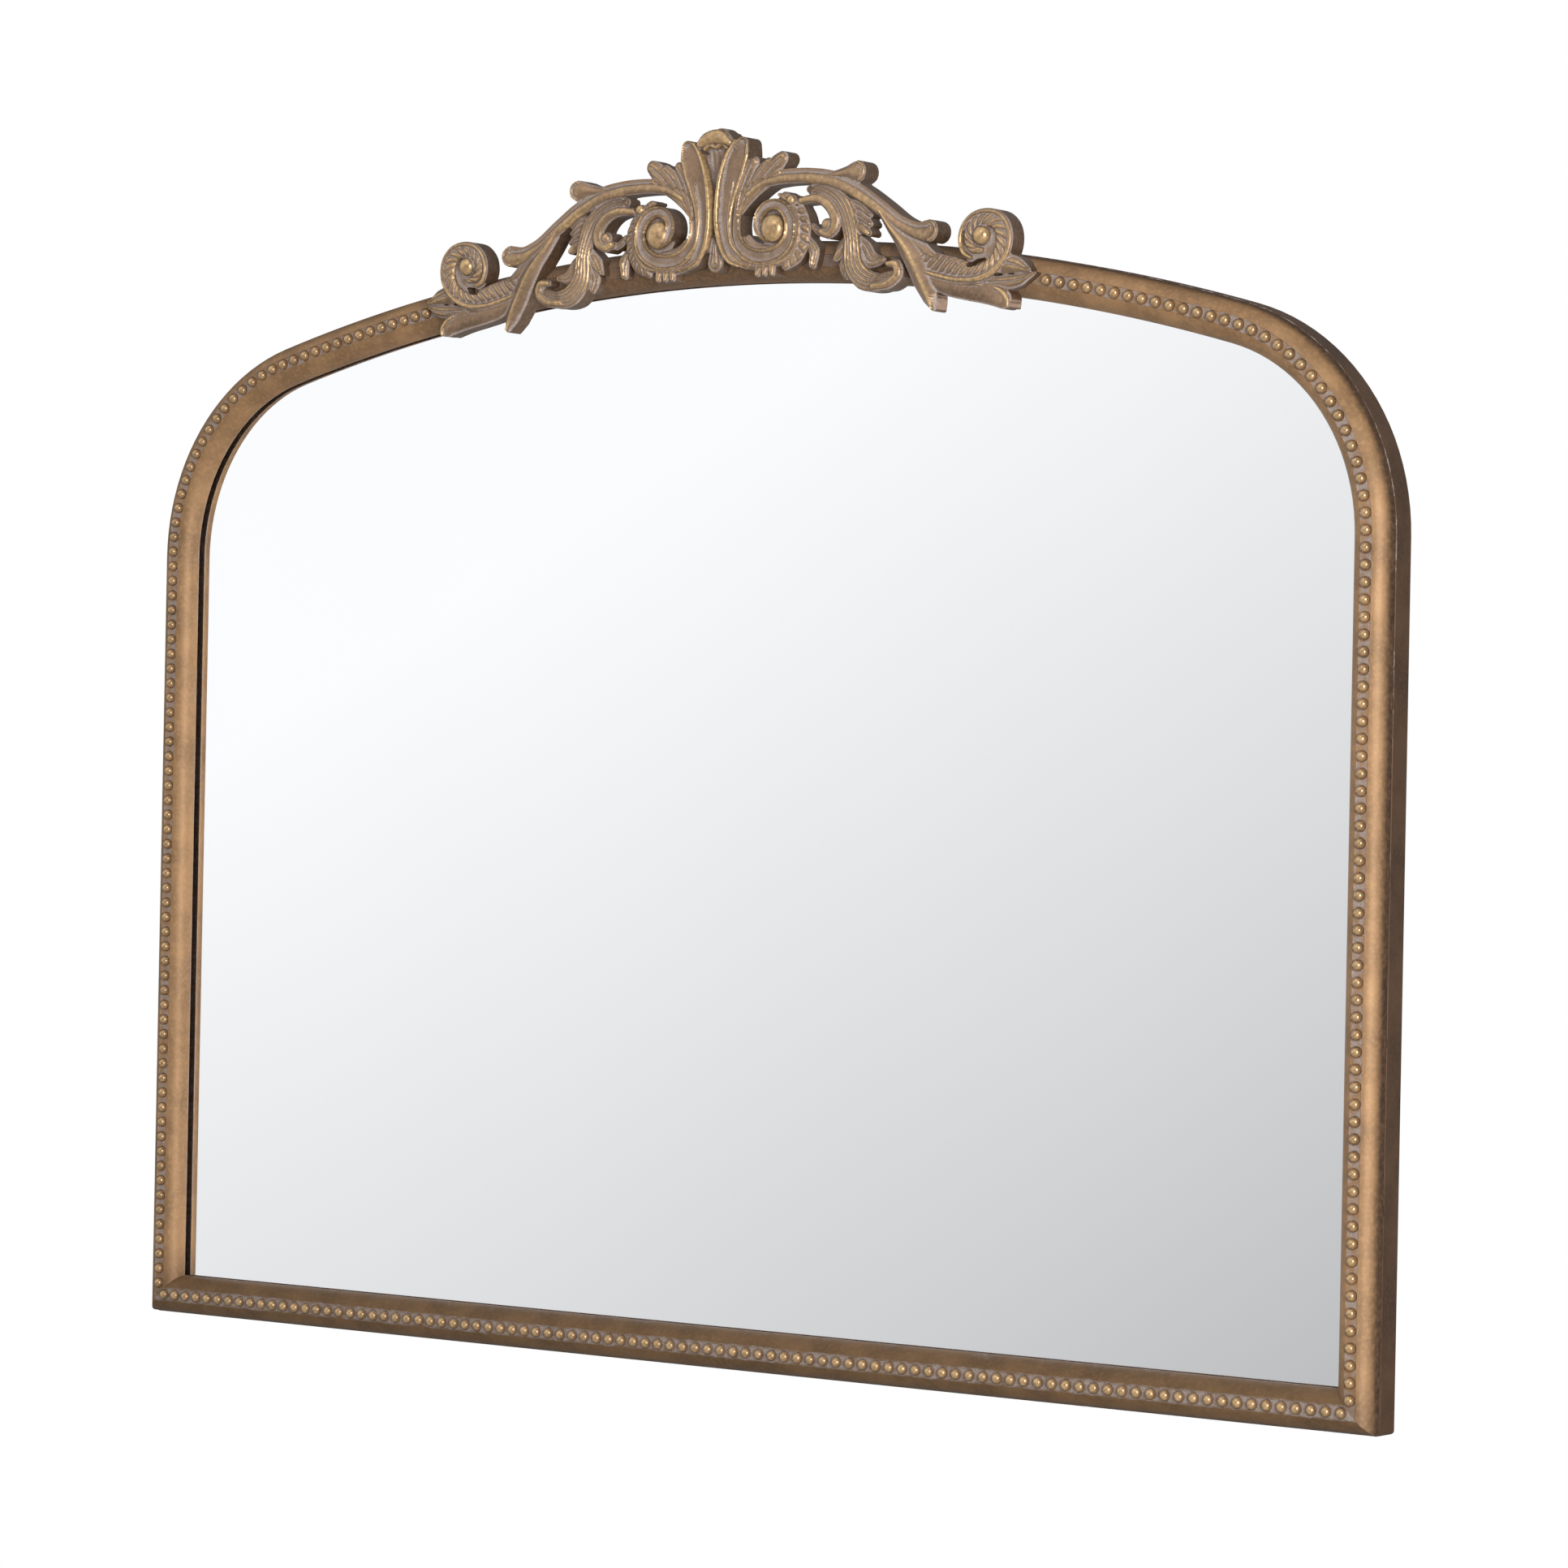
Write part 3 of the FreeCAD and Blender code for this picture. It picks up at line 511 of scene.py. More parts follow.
class MIRROR_OT_moulding(bpy.types.Operator):
    """Sweeps the grooved half-round round the arch and along the bottom, mitred at both corners"""
    bl_idname = "mirror.moulding"
    bl_label = "Half-round moulding"

    def darken(self, bm, sizes, arch, reach):
        """Painted shade: dark bronze on the crown where the crest shades it, fading out past the crest's ends, and
        on the feet, where the rail's painted shade runs round the mitres.
        """
        shade_and_patina = bm.verts.layers.float["shade_and_patina"]
        foot = arch.bottom + sizes.foot_shade * 0.6
        for vert in bm.verts:
            if vert.co.z > arch.corner * 0.5:
                under = clamped((reach * 1.04 - abs(vert.co.x)) / (reach * 0.3))
                vert[shade_and_patina] = max(vert[shade_and_patina], 0.62 * under)
            elif vert.co.z < foot:
                vert[shade_and_patina] = max(vert[shade_and_patina], 0.5)

    def execute(self, context):
        sizes = context.scene.mirror_sizes
        colours = context.scene.mirror_finish
        arch = Arch(sizes)
        bronze = antique_finish("rubbed_bronze", colours, scaled(colours.bronze, 0.86), gold=(0.5, 0.74),
                                glaze=(0.13, 0.27), metal=0.3, rough=0.52)
        # The rail's bronze is a much darker copy of the bow's, a painted shade on the bottom rail, and it holds
        # more pale glaze
        washed = antique_finish("shaded_washed_bronze", colours, scaled(colours.bronze, 0.42), gold=(0.58, 0.84),
                                glaze=(0.12, 0.42), metal=0.3, rough=0.54, gloss=0.3)

        def on_leg(across, depth):
            return arch.half + across, depth, arch.bottom - across

        def on_rail(across, depth):
            return -arch.half + across, depth, arch.bottom + across

        bm = bmesh.new()
        shade = arch.bottom + sizes.foot_shade
        last = extruded(bm, chain(bm, half_round_section(sizes, on_leg, 1)))
        last = extruded(bm, levelled(last, shade))
        last = extruded(bm, arch.bend(bm, levelled(last, 0.0)))
        last = extruded(bm, levelled(last, shade))
        for vert in ends(last):
            vert.co.z = arch.bottom + arch.half + vert.co.x
        self.darken(bm, sizes, arch, context.scene.mirror_crest.reach)
        dress(finish_mesh(bm, "moulding_bow_dressed"), bronze, BODY, "bronze_finish", "moulding_bow")

        bm = bmesh.new()
        for vert in ends(extruded(bm, chain(bm, half_round_section(sizes, on_rail, -1)))):
            vert.co.x = -vert.co.x
        dress(finish_mesh(bm, "moulding_rail_dressed"), washed, BODY, "bronze_finish", "moulding_rail")
        return {"FINISHED"}


class MIRROR_OT_rim(bpy.types.Operator):
    """Bends the flat-bar rim behind the moulding and sets the weld tacks on its outer seam"""
    bl_idname = "mirror.rim"
    bl_label = "Rim and weld tacks"

    def bow(self, sizes, arch):
        foot = -sizes.leg_height
        bm = bmesh.new()
        section = rim_section(sizes, lambda across, depth: (arch.half + across, depth, foot))
        last = arch.bend(bm, extruded(bm, chain(bm, section), (0, 0, -foot)))
        extruded(bm, last, (0, 0, foot))
        capped(bm)
        low = foot + 0.01 * MM
        side = sizes.width / 2 - 0.5 * MM
        corners = [edge for edge in bm.edges
                   if all(vert.co.z < low and abs(vert.co.x) > side for vert in edge.verts)]
        eased(bm, corners, sizes.foot_round, 4)
        wear = bm.verts.layers.float["wear"]
        for vert in bm.verts:
            if vert.co.z < foot + sizes.rim_thickness:
                vert[wear] = 0.5
        return finish_mesh(bm, "rim_bow_dressed")

    def tacks(self, sizes, arch):
        bm = bmesh.new()
        wear = bm.verts.layers.float.new("wear")
        away = arch.half + sizes.moulding_radius - sizes.tack_inset
        depth = -sizes.seam_depth - sizes.tack_lead
        count = int((sizes.leg_height - sizes.tack_start) / sizes.tack_pitch) + 1
        for side in (-1, 1):
            for index in range(count):
                height = -sizes.leg_height + sizes.tack_start + sizes.tack_pitch * index
                lump = bmesh.ops.create_icosphere(bm, subdivisions=2, radius=1.0)["verts"]
                bmesh.ops.scale(bm, verts=lump, vec=sizes.tack_size)
                bmesh.ops.translate(bm, verts=lump, vec=(side * away, depth, height))
        for vert in bm.verts:
            vert[wear] = 0.5
        return make_object(bm, "weld_tacks")

    def execute(self, context):
        sizes = context.scene.mirror_sizes
        colours = context.scene.mirror_finish
        arch = Arch(sizes)
        brown = antique_finish("dark_bronze", colours, colours.dark_bronze, gold=(0.8, 1.0), glaze=(0.16, 0.3),
                               metal=0.3, rough=0.52, gloss=0.16)
        satin = satin_metal("tab_bronze", colours.dark_bronze, metal=0.5, rough=0.45, scale=60.0)
        dress(self.bow(sizes, arch), brown, BODY, "rim_finish", "rim_bow")

        bm = bmesh.new()
        inner = arch.half + sizes.moulding_radius + sizes.seam_step - sizes.rim_thickness
        section = rim_section(sizes, lambda across, depth: (-inner, depth, arch.bottom - across))
        extruded(bm, chain(bm, section), (2 * inner, 0, 0))
        dress(finish_mesh(bm, "rim_rail_dressed"), brown, BODY, "rim_finish", "rim_rail")

        dress(self.tacks(sizes, arch), brown, BODY, "rim_finish")
        tabs = rounded_copy("board_tabs", "board_tabs_dressed", 0.0003, 2)
        dress(tabs, satin, BODY, "rim_finish", "board_tabs")
        return {"FINISHED"}


class MIRROR_OT_beading(bpy.types.Operator):
    """Sets the pearls along the groove"""
    bl_idname = "mirror.beading"
    bl_label = "Pearl beading"

    def pearls(self, name, sizes, spots, material, node):
        bm = bmesh.new()
        wear = bm.verts.layers.float.new("wear")
        shade_and_patina = bm.verts.layers.float.new("shade_and_patina")
        radius = sizes.bead_diameter / 2
        for spot in spots:
            ball = bmesh.ops.create_uvsphere(bm, u_segments=12, v_segments=8, radius=radius)["verts"]
            bmesh.ops.delete(bm, geom=[vert for vert in ball if vert.co.z < -radius * 0.3], context="VERTS")
            ball = [vert for vert in ball if vert.is_valid]
            for vert in ball:
                share = max(0.0, vert.co.z / radius)
                vert[wear] = 0.36 + 0.64 * share
                # Painted shade: dark bronze round each pearl's base, where it meets the groove
                vert[shade_and_patina] = 0.8 * max(0.0, 1 - share / 0.3)
            bmesh.ops.rotate(bm, verts=ball, matrix=Matrix.Rotation(math.pi / 2, 3, "X"))
            bmesh.ops.scale(bm, verts=ball, vec=(1, sizes.bead_height / radius, 1))
            bmesh.ops.translate(bm, verts=ball, vec=spot)
        dress(finish_mesh(bm, name, 80.0), material, BODY, "gilt_finish", node)

    def execute(self, context):
        sizes = context.scene.mirror_sizes
        colours = context.scene.mirror_finish
        arch = Arch(sizes)
        gilt = antique_finish("gilt_pearls", colours, scaled(colours.bronze, 0.74), gold=(0.62, 1.12),
                              glaze=(0.02, 0.3), metal=0.4, rough=0.28)
        # The rail's pearls are a darker copy of the bow's, a painted shade like the rail's, with more glaze
        washed = antique_finish("shaded_washed_pearls", colours, scaled(colours.bronze, 0.6), gold=(0.6, 1.05),
                                glaze=(0.25, 0.62), metal=0.4, rough=0.36)
        floor = -sizes.groove_floor
        end = math.acos(context.scene.mirror_crest.reach / arch.crown)
        leg = -arch.bottom
        bend = arch.corner * arch.turn
        count = int((leg + bend + arch.crown * (end - arch.turn)) / sizes.bead_pitch)
        spots = []
        for index in range(count):
            run = (index + 0.75) * sizes.bead_pitch
            if run < leg:
                x, z = arch.half, arch.bottom + run
            elif run < leg + bend:
                turn = (run - leg) / arch.corner
                x, z = arch.side + arch.corner * math.cos(turn), arch.corner * math.sin(turn)
            else:
                turn = arch.turn + (run - leg - bend) / arch.crown
                x, z = arch.crown * math.cos(turn), arch.centre + arch.crown * math.sin(turn)
            spots += [(x, floor, z), (-x, floor, z)]
        self.pearls("bow_beading_dressed", sizes, spots, gilt, "bow_beading")
        count = int(2 * arch.half / sizes.bead_pitch)
        start = -sizes.bead_pitch * (count - 1) / 2
        spots = [(start + sizes.bead_pitch * index, floor, arch.bottom) for index in range(count)]
        self.pearls("rail_beading_dressed", sizes, spots, washed, "rail_beading")
        return {"FINISHED"}


# Carved crest: bands of relief along smooth lines, carved into one surface, all in millimetres

def smooth_line(points, step):
    """Points about one step apart on a smooth line through the given ones, and where the given ones lie on it."""
    ahead = np.vstack([2 * points[0] - points[1], points, 2 * points[-1] - points[-2]])
    line = []
    shares = []
    for index in range(1, len(ahead) - 2):
        before, near, far, after = ahead[index - 1:index + 3]
        count = max(2, int(np.linalg.norm(far - near) / step))
        for part in np.arange(count) / count:
            line.append(0.5 * (2 * near + (far - before) * part
                               + (2 * before - 5 * near + 4 * far - after) * part**2
                               + (3 * near - before - 3 * far + after) * part**3))
            shares.append(index - 1 + part)
    line.append(points[-1])
    shares.append(len(points) - 1.0)
    return np.array(line), np.array(shares)


def round_cut(across, along):
    return np.sqrt(np.maximum(0.0, 1 - across**2))


def soft_cut(across, along):
    return 1 - across**2


def keel_cut(across, along):
    return 1 - np.abs(across)**1.15


def hollow_cut(across, along):
    """Shallow channel between two thin raised edges."""
    away = np.abs(across)
    return np.where(away > 0.76, 1 - ((away - 0.86) / 0.16)**2, 0.85 * (away / 0.76)**3 - 0.25)


def vein_cut(across, along):
    """Rounded leaf with a vein cut along its middle."""
    return 1 - across**2 - 0.55 * np.exp(-(across / 0.17)**2)


def rail_cut(across, along):
    """A roll over the lower two thirds and a flat step above it."""
    roll = np.sqrt(np.maximum(0.0, 1 - ((across - 0.3) / 0.7)**2))
    return np.maximum(roll, 0.22)


def ribs_cut(count):
    def cut(across, along):
        rib = np.abs(np.cos(across * math.pi * count / 2))
        return (1 - 0.75 * across**2) * 0.65 + 0.5 * rib - 0.15
    return cut


def gadroon_cut(pitch, slant):
    def cut(across, along):
        flute = np.abs(np.cos(math.pi * (along / pitch + slant * across)))
        return np.sqrt(np.maximum(0.0, 1 - across**2)) * (0.45 + 0.55 * flute**0.8)
    return cut


class Relief:
    """A carving in progress: a grid of heights from the wall, and how far each point is outside the outline."""

    # Widths of the blurs that show what is proud or sunk, and how far back from the front the walls' painted shade
    # begins
    blurs = (0.7, 1.3, 4.0)
    wall_edge = 0.8

    def __init__(self, low, high, cell):
        self.low = np.array(low, float)
        self.cell = cell
        self.counts = np.round((np.array(high) - self.low) / cell).astype(int)
        steps = [self.low[axis] + cell * np.arange(self.counts[axis] + 1) for axis in (0, 1)]
        self.x, self.z = np.meshgrid(*steps, indexing="ij")
        self.outside = np.full(self.x.shape, 99.0)
        self.height = np.zeros(self.x.shape)
        self.rim_height = np.zeros(self.x.shape)

    def window(self, points, margin):
        low = np.floor((points.min(0) - margin - self.low) / self.cell).astype(int)
        high = np.ceil((points.max(0) + margin - self.low) / self.cell).astype(int) + 1
        low = np.maximum(low, 0)
        high = np.minimum(high, self.counts + 1)
        return np.s_[low[0]:max(high[0], low[0]), low[1]:max(high[1], low[1])]

    def trace(self, path):
        """Around a smooth line, each point of it (x, z, width): the cells, how far outside it they are, and where
        along and across it they lie."""
        path = np.array(path, float)
        line, shares = smooth_line(path[:, :2], 1.5)
        halves = np.interp(shares, np.arange(len(path)), path[:, 2]) / 2
        runs = np.concatenate([[0.0], np.cumsum(np.linalg.norm(np.diff(line, axis=0), axis=1))])
        area = self.window(line, halves.max() + 3 * self.cell)
        x, z = self.x[area], self.z[area]
        outside = np.full(x.shape, 1e9)
        along = np.zeros(x.shape)
        across = np.zeros(x.shape)
        place = np.zeros(x.shape)
        for index in range(len(line) - 1):
            step = line[index + 1] - line[index]
            dx, dz = x - line[index, 0], z - line[index, 1]
            part = np.clip((dx * step[0] + dz * step[1]) / (step @ step), 0, 1)
            away = np.hypot(dx - part * step[0], dz - part * step[1])
            half = halves[index] + (halves[index + 1] - halves[index]) * part
            closer = away - half < outside
            side = np.sign(dx * step[1] - dz * step[0])
            outside = np.where(closer, away - half, outside)
            along = np.where(closer, runs[index] + part * (runs[index + 1] - runs[index]), along)
            across = np.where(closer, side * away / np.maximum(half, 1e-6), across)
            place = np.where(closer, shares[index] + part * (shares[index + 1] - shares[index]), place)
        return area, outside, along, np.clip(across, -1, 1), place

    def bands(self, rows, side=1):
        """Carves the bands of a table, with side -1 on the other side of the middle."""
        for cut, swell, level, *path in rows:
            self.band(cut, swell, level, *((side * x, z, width) for x, z, width in path))

    def band(self, cut, swell, level, *path):
        """Carves one band along a smooth line. level is its edge's height, one for all or one for each point, and
        swell is how far its cut stands over that."""
        area, outside, along, across, place = self.trace(path)
        marks = np.arange(len(path))
        base = np.interp(place, marks, np.broadcast_to(level, len(path)))
        self.lay(area, outside, base + swell * cut(across, along))

    def pierce(self, *path):
        """Cuts an opening along a smooth line."""
        area, outside = self.trace(path)[:2]
        self.outside[area] = np.maximum(self.outside[area], -outside)

    def ball(self, x, z, radius, level, swell):
        area = self.window(np.array([(x, z)], float), radius + 3 * self.cell)
        away = np.hypot(self.x[area] - x, self.z[area] - z)
        self.lay(area, away - radius, level + swell * np.sqrt(np.maximum(0.0, 1 - (away / radius)**2)))

    def lay(self, area, outside, height):
        inside = outside <= 0
        self.height[area] = np.where(inside, np.maximum(self.height[area], height), self.height[area])
        nearer = outside < self.outside[area]
        self.rim_height[area] = np.where(nearer, height, self.rim_height[area])
        self.outside[area] = np.minimum(self.outside[area], outside)

    def wear(self):
        """How far each point stands over its surroundings: 0.5 is level, more is proud, less is sunk."""
        full = np.where(self.outside <= 0, self.height, self.rim_height)
        carved = self.outside <= self.cell
        fine, near, wide = (full - blurred(full, carved, width / self.cell) for width in self.blurs)
        sunk = np.minimum(0.7 * fine + 0.6 * near + 0.1 * wide, 0)
        proud = np.maximum(0.1 * fine + 0.24 * near + 0.13 * wide, 0)
        return np.clip(0.5 + sunk + proud, 0, 1)

    def mesh(self, back):
        """Closed bmesh, in metres: carved front, straight walls and a flat back."""
        bm = bmesh.new()
        bmesh.ops.create_grid(bm, x_segments=int(self.counts[0]), y_segments=int(self.counts[1]), size=1.0)
        layer = bm.verts.layers.float.new("wear")
        shade_and_patina = bm.verts.layers.float.new("shade_and_patina")
        wear = self.wear()
        slope_x, slope_z = np.gradient(self.outside, self.cell)
        size = np.maximum(np.hypot(slope_x, slope_z), 1e-6)
        where = {}
        for vert in bm.verts:
            spot = (round((vert.co.x + 1) / 2 * self.counts[0]), round((vert.co.y + 1) / 2 * self.counts[1]))
            where[vert] = spot
        empty = [face for face in bm.faces if all(self.outside[where[vert]] >= 0 for vert in face.verts)]
        bmesh.ops.delete(bm, geom=empty, context="FACES")
        for vert in bm.verts:
            spot = where[vert]
            gap = self.outside[spot]
            x, z = self.x[spot], self.z[spot]
            height = self.height[spot]
            if gap > 0:
                x -= gap * slope_x[spot] / size[spot]
                z -= gap * slope_z[spot] / size[spot]
                height = height or self.rim_height[spot]
            vert.co = (x * MM, -height * MM, z * MM)
            vert[layer] = wear[spot]
        edges = [edge for edge in bm.edges if edge.is_boundary]
        made = bmesh.ops.duplicate(bm, geom=bm.verts[:] + bm.edges[:] + bm.faces[:])["geom"]
        # Painted shade: the walls, from just behind the front, and the flat back are laid dark, deeper towards the
        # back
        edges = extruded(bm, edges, (0, self.wall_edge * MM, 0))
        for vert in ends(edges):
            vert[layer] = 0.5
            vert[shade_and_patina] = 0.6
        rear = only(bmesh.types.BMVert, made) + ends(extruded(bm, edges))
        for vert in rear:
            vert.co.y = -back
            vert[layer] = 0.5
            vert[shade_and_patina] = 0.66
        bmesh.ops.remove_doubles(bm, verts=rear, dist=1e-6)
        bmesh.ops.recalc_face_normals(bm, faces=bm.faces)
        return bm


def blurred(values, mask, width):
    """Gaussian blur that takes only the masked points into account."""
    reach = int(3 * width)
    weights = np.exp(-0.5 * (np.arange(-reach, reach + 1) / width)**2)
    weight = mask.astype(float)
    total = values * weight
    for axis in (0, 1):
        total = np.apply_along_axis(np.convolve, axis, total, weights, mode="same")
        weight = np.apply_along_axis(np.convolve, axis, weight, weights, mode="same")
    return total / np.maximum(weight, 1e-6)


# Bands of the crest's right half and of its palmette. Each row holds the cut, its swell, its level and points
# (x, z, width), with z over the crown's bead line.

RAIL = (
    (rail_cut, 2.4, [36.8] * 10 + [37, 37.6], (24, 38.6, 5), (34, 44.4, 7.4), (46, 47, 8.6), (60, 47.4, 9),
     (72, 46.6, 9.2), (86, 44, 9.4), (104, 36.3, 9.2), (120, 26.2, 9), (134, 16.4, 8.8), (145, 11.6, 9),
     (151, 10.4, 10.6), (156.4, 10.2, 13)),
    (soft_cut, 2.2, [36, 36.2, 36.6, 37, 37.4], (80, 45.4, 4), (90, 46.6, 5.8), (97, 47.2, 8), (101, 47.4, 10.4),
     (104.2, 47.4, 12.8)),
    (keel_cut, 3.6, [36.2, 36.6, 37, 37, 36.6, 36.2, 36], (121, 23.5, 5), (129, 14, 7.6), (136.5, 6, 10),
     (143.4, -3.4, 12.4), (151, -17, 13.4), (156.2, -27, 10.4), (159.2, -34.4, 3.4)),
    (keel_cut, 1.8, 35.6, (143, 6, 5), (151, -0.6, 9), (160, -5, 3.6)),
)
VOLUTE = (
    (gadroon_cut(4.8, 0.75), 2.6,
     [34.6, 35, 35.4, 35.6, 35.8, 36, 36.2, 36.4, 36.4, 36.4, 36.2, 36, 35.8, 35.6, 35.4],
     (149, -5, 10), (160, -9, 13), (172, -11.4, 12), (184, -13.4, 8.6), (194, -13.2, 7.6), (202.4, -8.8, 8.6),
     (206.8, -1, 9), (206.8, 6.6, 8.8), (203, 12.6, 8.4), (195.6, 15, 8), (188.4, 13.4, 7.6), (183.8, 8.4, 7),
     (183.4, 3, 6), (186.6, -1.6, 5), (192, -2.6, 3)),
    (round_cut, 2.0, 36.6, (150, -12.4, 2.5), (163, -16, 3.2), (177, -19, 3.6), (191.5, -18.4, 3.6),
     (202.6, -13.6, 3.6), (209.8, -5.8, 3.6), (212.2, 3, 3.6), (210.4, 11.4, 3.6), (204.2, 17.6, 3.4),
     (195, 19.6, 3.4), (186, 17.6, 3.2), (179.6, 11.4, 3), (177.8, 3.6, 2.8), (180, -3.4, 2.4), (185, -6.4, 1.8)),
)
VOLUTE_LEAVES = (
    (soft_cut, 2.2, [35, 35.2, 35.4, 35.4, 35.2, 35.4, 35.8], (150, -15.5, 5), (160, -19.6, 8.6), (171, -23, 10.6),
     (184, -25.4, 11.6), (196, -27.4, 12.4), (203, -29.4, 12), (207.4, -31, 11.4)),
    (round_cut, 1.2, 36.4, (153, -15.4, 1.6), (163, -18.8, 2), (177, -21.4, 2), (192, -22.4, 1.4)),
    (round_cut, 1.3, 37.2, (202.6, -24.4, 1.8), (207.4, -27, 2.8), (211.4, -31.4, 2.8), (211.6, -35.4, 2)),
    (vein_cut, 2.8, 34.6, (197, -11, 8), (207, -10.6, 12), (216, -12, 9), (224, -15, 2.4)),
    (vein_cut, 2.6, 33.4, (196, -21, 6), (207, -21.4, 9), (217, -20.4, 7.4), (227, -17, 2)),
)
ACANTHUS = (
    (ribs_cut(5), 2.8, [34.8, 35.2, 35.6, 36] + [36.2] * 6, (69, 39, 5), (77, 38.4, 8.6), (87.4, 34, 10.6),
     (94.6, 26.4, 11.6), (98.6, 16.4, 11), (100.6, 8, 10.6), (102, -6, 13), (109, -15, 13.4), (120, -17.6, 10.4),
     (129.6, -14.6, 7)),
    (vein_cut, 2.4, 33.8, (95, 29.4, 5), (104, 28, 8), (111.6, 22, 3.6)),
    (vein_cut, 2.4, 34.2, (98, 22, 5), (105.6, 21, 7.4), (112, 16.6, 3.6)),
    (round_cut, 2.6, 34.8, (100, 15, 5), (106.6, 14.4, 6.8), (111.4, 11.4, 4)),
    (ribs_cut(3), 2.4, 33.6, (101.6, 9, 6), (108, 3, 9), (113, -4, 9.6), (121, -4.6, 4)),
    (vein_cut, 2.8, 34.2, (98, 10, 7), (92.4, 3, 9.6), (87.6, -3, 2.4)),
    (ribs_cut(3), 2.4, 33.4, (97, 2, 5), (93.4, -6.4, 7.6), (95, -13, 4)),
    (round_cut, 3.2, 36.4, (117, -20, 4.4), (127, -19, 6), (134, -14, 6.6), (133, -8, 5.8), (127.6, -7.4, 3.6)),
    (round_cut, 3.0, [35, 36, 36.8, 37, 36.8, 36.6, 36.4], (63, 32.8, 4.5), (74, 33.4, 6), (82.6, 30, 7),
     (88.6, 22.6, 7.6), (88.4, 15.4, 6.8), (83.6, 12, 5.8), (78.8, 13.8, 4)),
    (ribs_cut(3), 2.0, 33.5, (77.6, 12.6, 4), (73.4, 14.6, 4.6), (70, 18, 3)),
)
SCROLL = (
    (hollow_cut, 1.7, [38.8, 38.4, 38, 37.8, 37.6, 37.5, 37.4, 37.4, 37.4, 37.2] + [37] * 8, (39, 12, 4.4),
     (34.4, 15.6, 5.4), (32.8, 21, 5.8), (34.4, 27, 6), (39.4, 30.8, 6.4), (46, 31.2, 6.8), (52.4, 27.6, 7.2),
     (56.2, 20, 7.6), (55.2, 10.6, 8.2), (49.2, 4.2, 8.8), (40, 1.2, 9.2), (29.5, 1.6, 9.4), (20.6, 6, 9),
     (15.2, 14, 8.6), (14.8, 25, 8.2), (18.4, 34.4, 7.6), (26, 41, 6.6), (36, 45, 5)),
    (soft_cut, 2.0, 34.6, (40, 6.4, 3), (31.5, 6.6, 5.6), (26.4, 8.8, 6), (23, 12.6, 4.4)),
    (gadroon_cut(5.2, 0.25), 2.6, 34.6, (50, 36.6, 4.6), (58, 31, 6.4), (63, 24, 7.2), (65, 15.6, 7.8),
     (63.6, 7, 7.8), (59, -0.4, 7.4), (51, -5, 5)),
    (round_cut, 1.8, 36, (47, 37, 2.2), (55.4, 31.6, 2.8), (60, 24.6, 3), (61.6, 16, 3), (60, 7.4, 3),
     (54.6, 0, 3), (46, -3.4, 2.8), (36, -4, 2)),
    (ribs_cut(3), 2.4, 33.4, (67, 10, 4), (71, 3, 7.6), (70.4, -5, 5)),
    (round_cut, 2.0, 35.6, (8, 5, 3), (18, -1.6, 4), (30, -4.6, 4), (42, -4.6, 3)),
)
PALMETTE_HALF = (
    (hollow_cut, 1.3, [36.6, 37.4, 38, 38.4, 38.6, 38.8, 38.8, 38.8, 38.4], (24, -2.6, 6.5), (14.5, 2.4, 9.4),
     (8.8, 11, 10.6), (7.2, 21, 11.8), (7.9, 33, 13.6), (10.2, 43, 16), (13.6, 53, 17.6), (17.4, 62, 15.6),
     (20.4, 68.4, 8.4)),
    (round_cut, 1.4, [38, 38.6, 39.4, 40, 40.2, 40.2, 39.8, 39], (18, -3.6, 1.6), (11, -0.2, 2.4), (5.6, 9.6, 2.8),
     (3, 22, 3), (3.2, 34, 3), (5.2, 49, 2.8), (9.6, 61.6, 2.4), (15.6, 70.6, 1.6)),
    (round_cut, 1.5, 38.2, (20, 2.6, 1.6), (13.6, 9.6, 2), (11.4, 21, 2), (12, 33, 2), (14.6, 46, 1.4)),
    (vein_cut, 2.4, 36.4, (24, 33, 3), (32, 41, 6), (40, 46.4, 8), (46.4, 50, 5.4)),
    (vein_cut, 2.4, 36.4, (20, 29, 3), (28, 39.5, 7), (38, 49.4, 10.4), (45, 55.6, 11), (48.6, 58.4, 8.6)),
    (vein_cut, 2.4, 36.4, (19, 28, 3), (25, 40, 7), (32.6, 50, 9.6), (38.6, 56, 7)),
    (vein_cut, 2.4, 36.4, (17, 26, 3), (19.5, 38, 6.4), (23.6, 49, 8.6), (28.4, 57.4, 6.4)),
)
PALMETTE_MIDDLE = (
    (ribs_cut(5), 1.6, 32.8, (0, 10, 4), (0, 30, 7), (0, 50, 13), (0, 70, 19)),
    (round_cut, 3.4, 37.8, (-11, 69.8, 5), (-6.5, 72.6, 8.2), (0, 73.8, 9), (6.5, 72.6, 8.2), (11, 69.8, 5)),
    (round_cut, 1.6, 37.4, (-8.6, 66.6, 1.6), (-4.4, 69.4, 2.6), (0, 67.6, 2.2), (4.4, 69.4, 2.6),
     (8.6, 66.6, 1.6)),
    (ribs_cut(4), 2.4, 34.4, (0, 15, 3.4), (0, 7, 8), (0, -0.6, 12)),
)


def flare_rings(relief, x, z, radius, level, lean):
    """Two raised rings round the flared end of a stub, that faces lean degrees over the level."""
    for share, width in ((1.0, 2.0), (0.46, 1.7)):
        away = radius * share
        arc = []
        for turn, full in ((-78, 0.7), (-39, 1), (0, 1), (39, 1), (78, 0.7)):
            angle = math.radians(turn + lean)
            arc.append((x + away * math.cos(angle), z + away * math.sin(angle), width * full))
        relief.band(round_cut, 1.4, level, *arc)


